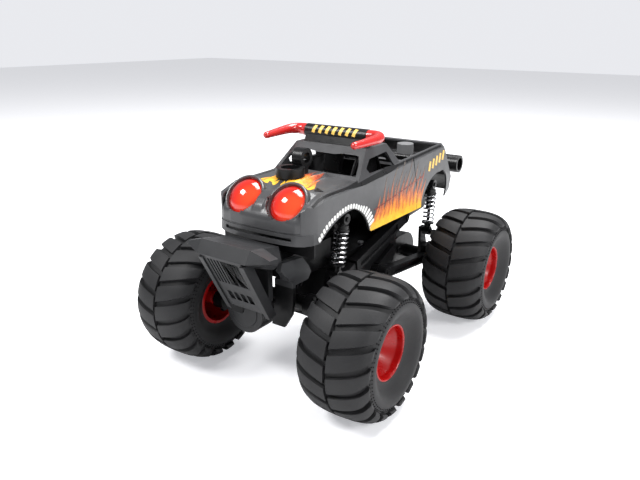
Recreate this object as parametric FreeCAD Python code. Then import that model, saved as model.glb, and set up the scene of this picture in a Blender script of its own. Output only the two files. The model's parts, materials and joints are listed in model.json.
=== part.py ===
"""A 1:16 radio-controlled monster truck, modelled as an assembly of its separate pieces.

Frame: millimetres, +Z up, origin on the ground midway between the axles and the wheels.
The truck faces -Y and its left side is +X.
Each function below builds one named sub-part and writes it as parts/NAME.step.
"""
import FreeCAD, Part
import math
import os

from FreeCAD import Vector

os.makedirs("parts", exist_ok=True)

# ---------------------------------------------------------------- driving dimensions
WHEELBASE = 197.0
TRACK = 160.0
TYRE_RADIUS = 52.5
TYRE_WIDTH = 57.0
FRONT_Y = -WHEELBASE / 2
REAR_Y = WHEELBASE / 2
AXLE_Z = TYRE_RADIUS
WHEEL_X = TRACK / 2
HALF_LENGTH = 157.5            # bumper face and rear tube reach the same distance from the origin

RUNNING = 0.06                 # radial gap of a turning fit
WALL = 1.6                     # moulded shell wall

# wheel
RIM_RADIUS = 21.0
RIM_HALF_WIDTH = 22.0
HUB_FACE_X = 3.4               # outer face of the hub, measured outwards from the wheel's mid-plane
NUT_WIDTH = 3.5
LUGS_PER_SIDE = 20
LUG_WIDTH = 10.5
SHAFT_RADIUS = 2.5
SHAFT_END_X = WHEEL_X + HUB_FACE_X + NUT_WIDTH + 1.6

# suspension: swing arms turn on chassis pins, coil-over shocks hold them down
FRONT_PIVOT = (44.0, 105.0)    # (y, z)
REAR_PIVOT = (6.0, 64.0)
FRONT_SHOCK_TOP = (-57.6, 128.2)
FRONT_SHOCK_FOOT = (-66.9, 85.2)
BEAM_Z = 71.0                  # the front beam runs above the hubs, and drop knuckles carry the wheels
BEAM_RADIUS = 5.5
REAR_SHOCK_TOP = (95.6, 125.5)
REAR_SHOCK_FOOT = (92.0, 80.0)
SHOCK_X = 35.0
REAR_SHOCK_X = 38.0
SHOCK_PIN_RADIUS = 2.0
FOOT_EYE_BORE = 2.45           # the foot eye is the open pivot of the linkage, so it is loose
ARM_PIN_RADIUS = 2.5

# steering: three parallel cranks of one length joined by the tie rod
KINGPIN_X = 46.0
KINGPIN_RADIUS = 1.5
YOKE_HALF = 10.5               # half height of a yoke over its two ears
EAR = 2.5                      # thickness of a yoke's ear
CRANK = 14.0
CRANK_Z = (60.0, 63.0)
POD_X = -24.5
POD_Z = 53.5
POD_RADIUS = 18.0
POD_Y = (-105.5, -90.0)
STEER_SHAFT_X = -20.0
STEER_MODULE = 0.4
STEER_GEAR_TEETH = 28
STEER_PINION_TEETH = 12

# drive: motor pinion, compound gear, axle gear
FAST_MODULE = 0.5
SLOW_MODULE = 0.6
PINION_TEETH = 12
COMPOUND_LARGE_TEETH = 44
COMPOUND_SMALL_TEETH = 14
AXLE_GEAR_TEETH = 42
COMPOUND_AT = (REAR_Y - 16.2, AXLE_Z + 4.45)
MOTOR_AT = (COMPOUND_AT[0] - 13.5, COMPOUND_AT[1] + 3.7)

# body
SIDE_X = 43.0                  # outside of the body sides
SHOULDER = 3.4                 # chamfer between the body sides and the top
BELT_Z = 156.0
ROOF_Z = 176.5
ROOF_X = 33.7
ROOF_Y = (-24.0, 9.0)
COWL_Y = -46.0
CAB_BACK_Y = 26.0
BED_FLOOR_Z = 138.0
LAMP_X = 19.5
LAMP_AT = (-107.5, 149.0)      # (y, z) of the lens centre
LAMP_RADIUS = 14.0
LAMP_TILT = 40.0               # degrees the lamps look up from straight ahead
HOOD_HALF_X = 36.0             # half width of the separate bonnet panel
BLOWER_AT = (0.0, -78.0)       # (x, y) of the engine blower
ROOF_BAR_AT = (-13.5, 184.6)   # (y, z) of the bar on the roof
ROOF_BAR_RADIUS = 5.6
ROOF_BAR_HALF = 29.5
FILLER_AT = (14.0, 84.0)       # (x, y) of the tank's filler neck
FILLER_NECK_RADIUS = 5.2
REAR_TUBE_RADIUS = 8.8
TUBE_AT = (HALF_LENGTH - REAR_TUBE_RADIUS, 136.5)

# chassis
TUB_X = 27.0
TUB_Y = (-58.0, 48.0)
BELLY_Z = 40.0
COVER_Z = 90.0


# ---------------------------------------------------------------- shape helpers
def box(x, y, z):
    """Block between the pairs of limits x, y and z."""
    return Part.makeBox(x[1] - x[0], y[1] - y[0], z[1] - z[0], Vector(x[0], y[0], z[0]))


def rod_x(radius, x, at):
    """Cylinder along X between limits x, at (y, z)."""
    return Part.makeCylinder(radius, x[1] - x[0], Vector(x[0], at[0], at[1]), Vector(1, 0, 0))


def rod_y(radius, y, at):
    """Cylinder along Y between limits y, at (x, z)."""
    return Part.makeCylinder(radius, y[1] - y[0], Vector(at[0], y[0], at[1]), Vector(0, 1, 0))


def rod_z(radius, z, at):
    """Cylinder along Z between limits z, at (x, y)."""
    return Part.makeCylinder(radius, z[1] - z[0], Vector(at[0], at[1], z[0]), Vector(0, 0, 1))


def face_of(points):
    """Flat face inside a closed outline of straight lines."""
    return Part.Face(Part.makePolygon(points + [points[0]]))


def prism_x(outline, x):
    """Solid between limits x with a (y, z) outline."""
    return face_of([Vector(x[0], y, z) for y, z in outline]).extrude(Vector(x[1] - x[0], 0, 0))


def prism_y(outline, y):
    """Solid between limits y with an (x, z) outline."""
    return face_of([Vector(px, y[0], z) for px, z in outline]).extrude(Vector(0, y[1] - y[0], 0))


def prism_z(outline, z):
    """Solid between limits z with an (x, y) outline."""
    return face_of([Vector(px, y, z[0]) for px, y in outline]).extrude(Vector(0, 0, z[1] - z[0]))


def mirrored(shape):
    """The same piece on the other side of the truck."""
    return shape.mirror(Vector(0, 0, 0), Vector(1, 0, 0))


def joined(*shapes):
    """One solid made of touching or overlapping solids."""
    whole = shapes[0].fuse(list(shapes[1:])) if len(shapes) > 1 else shapes[0]
    return whole.removeSplitter()


def belt(c1, r1, c2, r2, x):
    """Prism along X whose (y, z) outline is a belt round two circles."""
    dy, dz = c2[0] - c1[0], c2[1] - c1[1]
    along = math.atan2(dz, dy)
    spread = math.acos((r1 - r2) / math.hypot(dy, dz))
    up, down = along + spread, along - spread
    outline = [
        (c1[0] + r1 * math.cos(up), c1[1] + r1 * math.sin(up)),
        (c2[0] + r2 * math.cos(up), c2[1] + r2 * math.sin(up)),
        (c2[0] + r2 * math.cos(down), c2[1] + r2 * math.sin(down)),
        (c1[0] + r1 * math.cos(down), c1[1] + r1 * math.sin(down)),
    ]
    return joined(prism_x(outline, x), rod_x(r1, x, c1), rod_x(r2, x, c2))


def revolved_x(profile):
    """Solid of revolution about the X axis from a closed wire of (x, radius)."""
    return Part.Face(profile).revolve(Vector(0, 0, 0), Vector(1, 0, 0), 360)


def polygon_xr(points):
    """Closed wire in the XZ plane from (x, radius) points."""
    vectors = [Vector(x, 0, r) for x, r in points]
    return Part.makePolygon(vectors + [vectors[0]])


def save(name, *solids):
    """Write one sub-part; several solids make a group of separate identical or related pieces."""
    whole = Part.makeCompound([s for shape in solids for s in shape.Solids])
    whole.exportStep(f"parts/{name}.step")


# ---------------------------------------------------------------- gears
def involute(base, roll):
    """Point of an involute of the base circle after rolling by the angle roll."""
    return (base * (math.cos(roll) + roll * math.sin(roll)),
            base * (math.sin(roll) - roll * math.cos(roll)))


def gear_outline(module, teeth, phase, backlash=0.12, pressure=20.0):
    """Points of a spur gear outline with one tooth centred at the angle phase."""
    pitch = module * teeth / 2
    base = pitch * math.cos(math.radians(pressure))
    tip = pitch + 0.85 * module
    root = pitch - 1.25 * module
    at_pitch = math.tan(math.radians(pressure)) - math.radians(pressure)
    half = math.pi / teeth / 2 - backlash / 2 / pitch + at_pitch
    rolls = [math.sqrt(max(0.0, (r / base) ** 2 - 1)) for r in (max(base, root), pitch, tip)]
    points = []
    for k in range(teeth):
        centre = phase + 2 * math.pi * k / teeth
        flank = [(math.hypot(*involute(base, q)), half - math.atan2(*involute(base, q)[::-1]))
                 for q in rolls]
        if root < base:
            flank.insert(0, (root, half))
        for r, a in flank:
            points.append((r, centre - a))
        for r, a in reversed(flank):
            points.append((r, centre + a))
    return [(r * math.cos(a), r * math.sin(a)) for r, a in points]


def gear_x(module, teeth, phase, x, at):
    """Spur gear turning about X; phase is measured from +Y towards +Z."""
    return prism_x([(at[0] + u, at[1] + v) for u, v in gear_outline(module, teeth, phase)], x)


def gear_z(module, teeth, phase, z, at):
    """Spur gear turning about Z; phase is measured from +X towards +Y."""
    return prism_z([(at[0] + u, at[1] + v) for u, v in gear_outline(module, teeth, phase)], z)


def angle_to(a, b):
    """Direction of point b seen from point a."""
    return math.atan2(b[1] - a[1], b[0] - a[0])


# ---------------------------------------------------------------- wheels
def tyre():
    """Hollow balloon tyre about the X axis with staggered chevron lugs, centred on the origin."""
    bead = RIM_HALF_WIDTH - 2.3
    half = TYRE_WIDTH / 2 - 1.0
    crown = TYRE_RADIUS - 2.6
    outside = [(bead, RIM_RADIUS), (bead, RIM_RADIUS + 3.2), (half - 2.6, RIM_RADIUS + 6),
               (half, 33.5), (half - 0.6, 39.5), (half - 3.6, 44.6), (half - 10, 48.3), (10, 49.6)]
    inside = [(bead - 3, RIM_RADIUS), (bead - 3, RIM_RADIUS + 4.5), (half - 5.4, RIM_RADIUS + 8.4),
              (half - 3.2, 34), (half - 3.8, 38.8), (half - 6.4, 42.4), (half - 12, 45.2), (8, 46.4)]

    def skin(side, top):
        """One spline over the tread from bead to bead through the rounded points."""
        rounded = side[1:]
        points = rounded + [(0, top)] + [(-x, r) for x, r in reversed(rounded)]
        curve = Part.BSplineCurve()
        curve.interpolate([Vector(x, 0, r) for x, r in points])
        return curve.toShape()

    def line(a, b):
        return Part.makeLine(Vector(a[0], 0, a[1]), Vector(b[0], 0, b[1]))

    def flip(p):
        return (-p[0], p[1])

    wire = Part.Wire(Part.__sortEdges__([
        skin(outside, crown), line(flip(outside[1]), flip(outside[0])),
        line(flip(outside[0]), flip(inside[0])), line(flip(inside[0]), flip(inside[1])),
        skin(inside, crown - 3.2), line(inside[1], inside[0]),
        line(inside[0], outside[0]), line(outside[0], outside[1])]))
    carcass = revolved_x(wire)

    full = TYRE_WIDTH / 2
    cover = revolved_x(polygon_xr([
        (0.6, crown - 2), (14, crown - 3), (half - 4.5, 42), (half - 2, 36), (full - 0.2, 36),
        (full, 40.5), (full - 2, 45.5), (full - 7, 49.8), (14, TYRE_RADIUS - 0.5), (0.6, TYRE_RADIUS)]))
    start, end, slant = 1.2, full + 1, 15.0
    w = LUG_WIDTH / 2
    bar = prism_z([(start, -slant / 2 - w), (end, slant / 2 - w), (end, slant / 2 + w),
                   (start, -slant / 2 + w)], (30, TYRE_RADIUS + 2))
    lug = bar.common(cover)
    pitch = 360.0 / LUGS_PER_SIDE
    lugs = []
    for k in range(LUGS_PER_SIDE):
        for side, offset in ((lug, 0.0), (mirrored(lug), pitch / 2)):
            copy = side.copy()
            copy.rotate(Vector(0, 0, 0), Vector(1, 0, 0), k * pitch + offset)
            lugs.append(copy)
    return carcass.fuse(lugs)


def rim():
    """Deep-dished rim about the X axis, outer face towards +X, centred on the origin."""
    h, r = RIM_HALF_WIDTH, RIM_RADIUS
    barrel = revolved_x(polygon_xr([
        (-h, r - 2), (h, r - 2), (h, r + 2.5), (h - 2, r + 2.5), (h - 2, r),
        (-h + 2, r), (-h + 2, r + 2.5), (-h, r + 2.5)]))
    inner, outer = HUB_FACE_X - 2.4, HUB_FACE_X
    dish = revolved_x(polygon_xr([(inner, 5.5), (inner, 9.0), (12.5, r - 1.5), (15.0, r - 1.5),
                                  (outer, 8.0), (outer, 5.5)]))
    hub = revolved_x(polygon_xr([(-17.0, 0), (-17.0, 6.0), (outer, 6.0), (outer, 0)]))
    return joined(barrel, dish, hub)


def placed(shape, side, y):
    """A wheel piece moved to its hub; side is +1 for the left and -1 for the right."""
    piece = shape.copy() if side > 0 else mirrored(shape)
    piece.translate(Vector(side * WHEEL_X, y, AXLE_Z))
    return piece


def nut():
    """Hexagonal hub nut, bored for the axle, just outside the rim's hub."""
    flats = [(4.6 * math.cos(math.radians(60 * k)), 4.6 * math.sin(math.radians(60 * k)))
             for k in range(6)]
    seat = HUB_FACE_X + 0.1
    return prism_x(flats, (seat, seat + NUT_WIDTH)).cut(rod_x(SHAFT_RADIUS, (0, 20), (0, 0)))


def wheels():
    tread, turning = tyre(), rim()
    free_rim = turning.cut(rod_x(SHAFT_RADIUS + RUNNING, (-30, 30), (0, 0)))
    fixed_rim = turning.cut(rod_x(SHAFT_RADIUS, (-30, 30), (0, 0)))
    for side, name in ((1, "left"), (-1, "right")):
        save(f"tyre_front_{name}", placed(tread, side, FRONT_Y))
        save(f"tyre_rear_{name}", placed(tread, side, REAR_Y))
        save(f"rim_front_{name}", placed(free_rim, side, FRONT_Y))
        save(f"rim_rear_{name}", placed(fixed_rim, side, REAR_Y))
        save(f"hub_nut_front_{name}", placed(nut(), side, FRONT_Y))
    save("hub_nuts_rear", placed(nut(), 1, REAR_Y), placed(nut(), -1, REAR_Y))


# ---------------------------------------------------------------- front axle and steering
KINGPIN_AT = (KINGPIN_X, FRONT_Y)
STEER_SHAFT_AT = (STEER_SHAFT_X, FRONT_Y)
STEER_MOTOR_AT = (STEER_SHAFT_X - STEER_MODULE * (STEER_GEAR_TEETH + STEER_PINION_TEETH) / 2, FRONT_Y)
EYE_RADIUS = 2.8
LINK_PIN_RADIUS = 1.5
LINK_BORE_RADIUS = LINK_PIN_RADIUS + 0.08


def yoke():
    """Left end of the beam: a back plate with two rounded ears that hold the kingpin."""
    back = box((39.8, 42.2), (FRONT_Y - 6, FRONT_Y + 6), (BEAM_Z - YOKE_HALF, BEAM_Z + YOKE_HALF))
    ears = []
    for z in ((BEAM_Z + YOKE_HALF - EAR, BEAM_Z + YOKE_HALF), (BEAM_Z - YOKE_HALF, BEAM_Z - YOKE_HALF + EAR)):
        ears.append(box((41.5, KINGPIN_X), (FRONT_Y - 3.8, FRONT_Y + 3.8), z))
        ears.append(rod_z(3.8, z, KINGPIN_AT))
    return joined(back, *ears).cut(rod_z(KINGPIN_RADIUS, (30, 110), KINGPIN_AT))


def front_axle_case():
    """Dead front beam with a yoke at each end and the round steering pod hung under it."""
    beam = rod_x(BEAM_RADIUS, (-40, 40), (FRONT_Y, BEAM_Z))
    pod = rod_y(POD_RADIUS, POD_Y, (POD_X, POD_Z))
    case = joined(beam, pod, yoke(), mirrored(yoke()))
    hollow = rod_y(POD_RADIUS - 2, (POD_Y[0] - 1, POD_Y[1] - 2), (POD_X, POD_Z))
    slot = box((STEER_SHAFT_X - 6, STEER_SHAFT_X + 6), (POD_Y[1] - 3, POD_Y[1] + 1),
               (CRANK_Z[0] - 0.6, CRANK_Z[1] + 0.6))
    inside = rod_y(POD_RADIUS - 1, (POD_Y[0], POD_Y[1] - 1), (POD_X, POD_Z))
    shelf = box((STEER_MOTOR_AT[0] - 5, STEER_MOTOR_AT[0] + 4), (FRONT_Y - 5, POD_Y[1] - 1), (34, 40))
    post = rod_z(2.8, (34, 42), STEER_SHAFT_AT)
    case = joined(case.cut([hollow, slot]), joined(shelf, post).common(inside))
    return case.cut(rod_z(LINK_PIN_RADIUS + RUNNING, (38.5, 48), STEER_SHAFT_AT))


def steering_horn():
    """Steering gear, spindle and crank in one moulding."""
    phase = angle_to(STEER_SHAFT_AT, STEER_MOTOR_AT) + math.pi / STEER_GEAR_TEETH
    gear = gear_z(STEER_MODULE, STEER_GEAR_TEETH, phase, (54.0, 57.6), STEER_SHAFT_AT)
    spindle = rod_z(LINK_PIN_RADIUS, (39.0, 61), STEER_SHAFT_AT)
    boss = rod_z(3.0, (57.6, CRANK_Z[1]), STEER_SHAFT_AT)
    eye_at = (STEER_SHAFT_X, FRONT_Y + CRANK)
    arm = joined(box((STEER_SHAFT_X - 2, STEER_SHAFT_X + 2), (FRONT_Y, FRONT_Y + CRANK), CRANK_Z),
                 rod_z(EYE_RADIUS, CRANK_Z, eye_at))
    return joined(gear, spindle, boss, arm).cut(rod_z(LINK_BORE_RADIUS, (50, 70), eye_at))


def knuckle():
    """Left drop knuckle: kingpin barrel, outboard plate down to the hub, stub axle and crank."""
    barrel = rod_z(3.2, (BEAM_Z - YOKE_HALF + EAR + 0.2, BEAM_Z + YOKE_HALF - EAR - 0.2), KINGPIN_AT)
    web = box((KINGPIN_X, 52), (FRONT_Y - 2.6, FRONT_Y + 2.6),
              (BEAM_Z - YOKE_HALF + EAR + 0.2, BEAM_Z + YOKE_HALF - EAR - 0.2))
    plate = box((50.6, 54), (FRONT_Y - 5, FRONT_Y + 5), (AXLE_Z - 7.5, BEAM_Z + YOKE_HALF - EAR - 0.2))
    boss = rod_x(7.5, (50.6, 60.2), (FRONT_Y, AXLE_Z))
    stub = rod_x(SHAFT_RADIUS, (60, SHAFT_END_X), (FRONT_Y, AXLE_Z))
    lever_z = (56.9, 60.0)
    eye = rod_z(EYE_RADIUS, lever_z, (KINGPIN_X, FRONT_Y + CRANK))
    lever = prism_z([(50.6, FRONT_Y - 4), (54, FRONT_Y - 4), (54, FRONT_Y + 5),
                     (KINGPIN_X + 2.4, FRONT_Y + CRANK + 1.6), (KINGPIN_X - 2.4, FRONT_Y + CRANK - 1.6),
                     (50.6, FRONT_Y + 5)], lever_z)
    solid = joined(barrel, web, plate, boss, stub, lever, eye)
    return solid.cut([rod_z(KINGPIN_RADIUS + RUNNING, (BEAM_Z - YOKE_HALF + EAR, 110), KINGPIN_AT),
                      rod_z(LINK_BORE_RADIUS, (50, 61), (KINGPIN_X, FRONT_Y + CRANK))])


def tie_rod():
    """Track rod above the cranks: long pins reach the knuckles, a short one the steering crank."""
    y = FRONT_Y + CRANK
    bar = box((-KINGPIN_X - 2.6, KINGPIN_X + 2.6), (y - 1.6, y + 1.6), (CRANK_Z[1] + 0.3, CRANK_Z[1] + 3.3))
    pins = [rod_z(LINK_PIN_RADIUS, (57.0, CRANK_Z[1] + 0.3), (x, y)) for x in (-KINGPIN_X, KINGPIN_X)]
    collars = [rod_z(2.4, (60.3, CRANK_Z[1] + 0.3), (x, y)) for x in (-KINGPIN_X, KINGPIN_X)]
    middle = rod_z(LINK_PIN_RADIUS, (CRANK_Z[0], CRANK_Z[1] + 0.3), (STEER_SHAFT_X, y))
    return joined(bar, middle, *pins, *collars)


def steering():
    save("front_axle_case", front_axle_case())
    cover = rod_y(POD_RADIUS, (POD_Y[0] - 2, POD_Y[0]), (POD_X, POD_Z))
    disc = rod_y(POD_RADIUS - 5, (POD_Y[0] - 2.8, POD_Y[0] - 2), (POD_X, POD_Z))
    save("steering_pod_cover", joined(cover, disc))

    can = joined(rod_z(4.0, (40, 51.5), STEER_MOTOR_AT), rod_z(1.6, (51.5, 52.6), STEER_MOTOR_AT))
    save("steering_motor", can.cut(rod_z(0.8 + RUNNING, (46, 60), STEER_MOTOR_AT)))
    toward = angle_to(STEER_MOTOR_AT, STEER_SHAFT_AT)
    pinion = gear_z(STEER_MODULE, STEER_PINION_TEETH, toward, (53.8, 57.8), STEER_MOTOR_AT)
    save("steering_pinion", joined(pinion, rod_z(0.8, (46.5, 53.8), STEER_MOTOR_AT)))
    save("steering_horn", steering_horn())
    save("tie_rod", tie_rod())

    save("knuckle_left", knuckle())
    save("knuckle_right", mirrored(knuckle()))
    pin = joined(rod_z(KINGPIN_RADIUS, (BEAM_Z - YOKE_HALF, BEAM_Z + YOKE_HALF), KINGPIN_AT),
                 rod_z(2.6, (BEAM_Z + YOKE_HALF, BEAM_Z + YOKE_HALF + 1.2), KINGPIN_AT))
    save("kingpins", pin, mirrored(pin))


# ---------------------------------------------------------------- swing arms
def arm_profile(pivot, foot, root_half, tip_half):
    """(y, z) outline of a straight bar that tapers from a pivot to its foot."""
    dy, dz = foot[0] - pivot[0], foot[1] - pivot[1]
    length = math.hypot(dy, dz)
    ny, nz = -dz / length, dy / length
    return [(pivot[0] + ny * root_half, pivot[1] + nz * root_half),
            (foot[0] + ny * tip_half, foot[1] + nz * tip_half),
            (foot[0] - ny * tip_half, foot[1] - nz * tip_half),
            (pivot[0] - ny * root_half, pivot[1] - nz * root_half)]


def along(a, b, t):
    """Point a share t of the way from a to b."""
    return (a[0] + (b[0] - a[0]) * t, a[1] + (b[1] - a[1]) * t)


def front_swing_arm():
    """Left front arm: wide pocketed bar, then a slim tongue to the beam's clamp, and the shock foot."""
    x = (31.0, 39.0)
    beam = (FRONT_Y, BEAM_Z)
    knee = along(FRONT_PIVOT, beam, 0.60)
    tongue_end = (FRONT_Y, BEAM_Z - 3.5)
    wide = prism_x(arm_profile(FRONT_PIVOT, knee, 5.0, 5.0), x)
    slim = prism_x(arm_profile(knee, tongue_end, 3.2, 3.2), (31.0, 37.6))
    pocket_start, pocket_end = along(FRONT_PIVOT, beam, 0.12), along(FRONT_PIVOT, beam, 0.56)
    pocket = prism_x(arm_profile(pocket_start, pocket_end, 2.7, 2.7), (x[1] - 2.0, x[1] + 1))
    eye = rod_x(5.6, x, FRONT_PIVOT)
    clamp = rod_x(8.6, (31.0, 37.6), beam)
    fy, fz = FRONT_SHOCK_FOOT
    ear = prism_x([(fy - 4, fz + 3.5), (fy + 4, fz + 3.5), (fy + 8, fz - 9), (fy - 8, fz - 12)], (27.6, 31.0))
    pin = rod_x(SHOCK_PIN_RADIUS, (30.0, SHOCK_X + 4.6), FRONT_SHOCK_FOOT)
    arm = joined(wide, slim, eye, clamp, ear, pin)
    return arm.cut([pocket, rod_x(BEAM_RADIUS, (20, 50), beam),
                    rod_x(ARM_PIN_RADIUS + RUNNING, (20, 50), FRONT_PIVOT)])


def rear_swing_arm():
    """Left rear arm: from the tub's side pin to a clamp round the axle tube, with the shock foot."""
    x = (34.0, 42.0)
    hub = (REAR_Y, AXLE_Z)
    bar = prism_x(arm_profile(REAR_PIVOT, hub, 4.2, 4.2), x)
    pocket = prism_x(arm_profile(along(REAR_PIVOT, hub, 0.15), along(REAR_PIVOT, hub, 0.75), 2.3, 2.3),
                     (x[1] - 2.0, x[1] + 1))
    eyes = [rod_x(5.4, x, REAR_PIVOT), rod_x(10.0, x, hub)]
    fy, fz = REAR_SHOCK_FOOT
    post = prism_x([(REAR_Y - 9, AXLE_Z + 4), (REAR_Y + 6, AXLE_Z + 6), (fy + 4, fz + 3.5),
                    (fy - 4, fz + 3.5)], (30.6, 33.4))
    tie = prism_x([(REAR_Y - 9, AXLE_Z + 4), (REAR_Y + 6, AXLE_Z + 6), (REAR_Y + 4, AXLE_Z + 12),
                   (REAR_Y - 9, AXLE_Z + 12)], (30.6, 40.0))
    pin = rod_x(SHOCK_PIN_RADIUS, (33.0, 42.8), REAR_SHOCK_FOOT)
    arm = joined(bar, *eyes, post, tie, pin)
    return arm.cut([pocket, rod_x(6.5, (20, 60), hub),
                    rod_x(ARM_PIN_RADIUS + RUNNING, (20, 60), REAR_PIVOT)])


def swing_arms():
    front, rear = front_swing_arm(), rear_swing_arm()
    pod_room = rod_y(POD_RADIUS, (POD_Y[0] - 3, POD_Y[1]), (POD_X, POD_Z))
    save("front_swing_arms", front, mirrored(front).cut(pod_room))
    save("rear_swing_arms", rear, mirrored(rear))


# ---------------------------------------------------------------- rear axle and drive train
def drive_train():
    hub = (REAR_Y, AXLE_Z)
    outer = [belt(hub, 18.5, COMPOUND_AT, 14.5, (-8, 11)),
             belt(COMPOUND_AT, 14.5, MOTOR_AT, 7, (-8, 11))]
    inner = [belt(hub, 16.5, COMPOUND_AT, 12.5, (-6, 12)),
             belt(COMPOUND_AT, 12.5, MOTOR_AT, 5, (-6, 12))]
    tube = rod_x(6.5, (-61, -7), hub)
    cradle = rod_x(12.0, (-26, -6), MOTOR_AT).cut(rod_x(10.0, (-27, -8), MOTOR_AT))
    case = joined(*outer, tube, cradle).cut(inner)
    bores = [rod_x(4.4, (-62, -40), hub), rod_x(3.0, (-62, 0), hub),
             rod_x(1.5 + RUNNING, (-7.4, 0), COMPOUND_AT), rod_x(2.2, (-10, 0), MOTOR_AT)]
    save("rear_axle_case", case.cut(bores))

    lid = joined(belt(hub, 18.5, COMPOUND_AT, 14.5, (11, 13)),
                 belt(COMPOUND_AT, 14.5, MOTOR_AT, 7, (11, 13)),
                 rod_x(6.5, (12, 61), hub), rod_x(3.5, (13, 14.6), COMPOUND_AT))
    save("rear_gearbox_cover", lid.cut([rod_x(4.4, (40, 62), hub), rod_x(3.0, (10, 62), hub),
                                        rod_x(1.5 + RUNNING, (10, 13.6), COMPOUND_AT)]))

    bush = rod_x(4.4, (50, 61), hub).cut(rod_x(SHAFT_RADIUS + RUNNING, (40, 70), hub))
    save("axle_bushes", bush, mirrored(bush))
    save("rear_axle_shaft", rod_x(SHAFT_RADIUS, (-SHAFT_END_X, SHAFT_END_X), hub))

    to_compound = angle_to(hub, COMPOUND_AT)
    blank = gear_x(SLOW_MODULE, AXLE_GEAR_TEETH, to_compound, (3, 8.5), hub)
    boss = rod_x(4.6, (-4, 10.4), hub)
    save("axle_gear", joined(blank, boss).cut(rod_x(SHAFT_RADIUS, (-10, 20), hub)))

    small_phase = angle_to(COMPOUND_AT, hub) + math.pi / COMPOUND_SMALL_TEETH
    large_phase = angle_to(COMPOUND_AT, MOTOR_AT)
    compound = joined(
        gear_x(SLOW_MODULE, COMPOUND_SMALL_TEETH, small_phase, (1.0, 9.0), COMPOUND_AT),
        gear_x(FAST_MODULE, COMPOUND_LARGE_TEETH, large_phase, (-4.2, 1.0), COMPOUND_AT),
        rod_x(1.5, (-7.2, 13.4), COMPOUND_AT))
    save("compound_gear", compound)

    pinion_phase = angle_to(MOTOR_AT, COMPOUND_AT) + math.pi / PINION_TEETH
    pinion = joined(gear_x(FAST_MODULE, PINION_TEETH, pinion_phase, (-4.6, 1.4), MOTOR_AT),
                    rod_x(1.0, (-14, -4.6), MOTOR_AT))
    save("motor_pinion", pinion)

    can = joined(rod_x(10.0, (-31, -8), MOTOR_AT), rod_x(3.0, (-32.5, -31), MOTOR_AT),
                 *[box((-33.6, -31), (MOTOR_AT[0] + dy - 0.4, MOTOR_AT[0] + dy + 0.4),
                       (MOTOR_AT[1] - 1.2, MOTOR_AT[1] + 1.2)) for dy in (-6.5, 6.5)])
    save("drive_motor", can.cut(rod_x(1.0 + RUNNING, (-15, 0), MOTOR_AT)))


# ---------------------------------------------------------------- shocks
def shock_pieces(top, foot, x):
    """(tube, rod, spring) of the left shock that runs from the top pin to the foot pin."""
    length = math.hypot(foot[0] - top[0], foot[1] - top[1])
    x0, x1 = x - 3.4, x + 3.4

    def down(radius, start, end):
        """Round bar on the shock's axis, from start to end below the top eye, before tilting."""
        return Part.makeCylinder(radius, end - start, Vector(x, 0, -end), Vector(0, 0, 1))

    tube = joined(rod_x(4.4, (x0, x1), (0, 0)), down(3.0, 2.5, 6), down(5.0, 5, 8.2), down(5.9, 8.2, 9.6),
                  down(3.4, 9.6, 24))
    tube = tube.cut([rod_x(SHOCK_PIN_RADIUS + RUNNING, (x0 - 1, x1 + 1), (0, 0)),
                     down(1.5 + RUNNING, 9.0, 25)])
    rod = joined(down(1.5, 17, length - 3), down(5.9, length - 8.6, length - 7.2),
                 down(3.2, length - 7.2, length - 3), rod_x(4.2, (x0, x1), (0, -length)))
    rod = rod.cut(rod_x(FOOT_EYE_BORE, (x0 - 1, x1 + 1), (0, -length)))

    wire, coil = 0.6, 5.2
    height = length - 8.6 - 9.6 - 2 * wire
    helix = Part.makeHelix(height / 6.5, height, coil)
    section = Part.Wire(Part.makeCircle(wire, Vector(coil, 0, 0), Vector(0, 1, 0)))
    spring = Part.Wire(helix).makePipeShell([section], True, True)
    spring.translate(Vector(x, 0, -(length - 8.6 - wire)))

    tilt = math.degrees(math.atan2(foot[0] - top[0], top[1] - foot[1]))
    pieces = []
    for shape in (tube, rod, spring):
        shape.rotate(Vector(0, 0, 0), Vector(1, 0, 0), tilt)
        shape.translate(Vector(0, top[0], top[1]))
        pieces.append(shape)
    return pieces


def shocks():
    for end, top, foot, x in (("front", FRONT_SHOCK_TOP, FRONT_SHOCK_FOOT, SHOCK_X),
                              ("rear", REAR_SHOCK_TOP, REAR_SHOCK_FOOT, REAR_SHOCK_X)):
        tube, rod, spring = shock_pieces(top, foot, x)
        save(f"{end}_shock_tubes", tube, mirrored(tube))
        save(f"{end}_shock_rods", rod, mirrored(rod))
        save(f"{end}_springs", spring, mirrored(spring))


# ---------------------------------------------------------------- chassis
DOOR_X = 18.0
DOOR_Y = (-36.6, 18.6)
DOOR_HINGE_Z = BELLY_Z - 1.2
PAD_HALF_X = 14.0              # stand pad under the tub, the lowest face of the belly
PAD_Y = (-56.0, -43.0)
PAD_Z = 36.0


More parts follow.
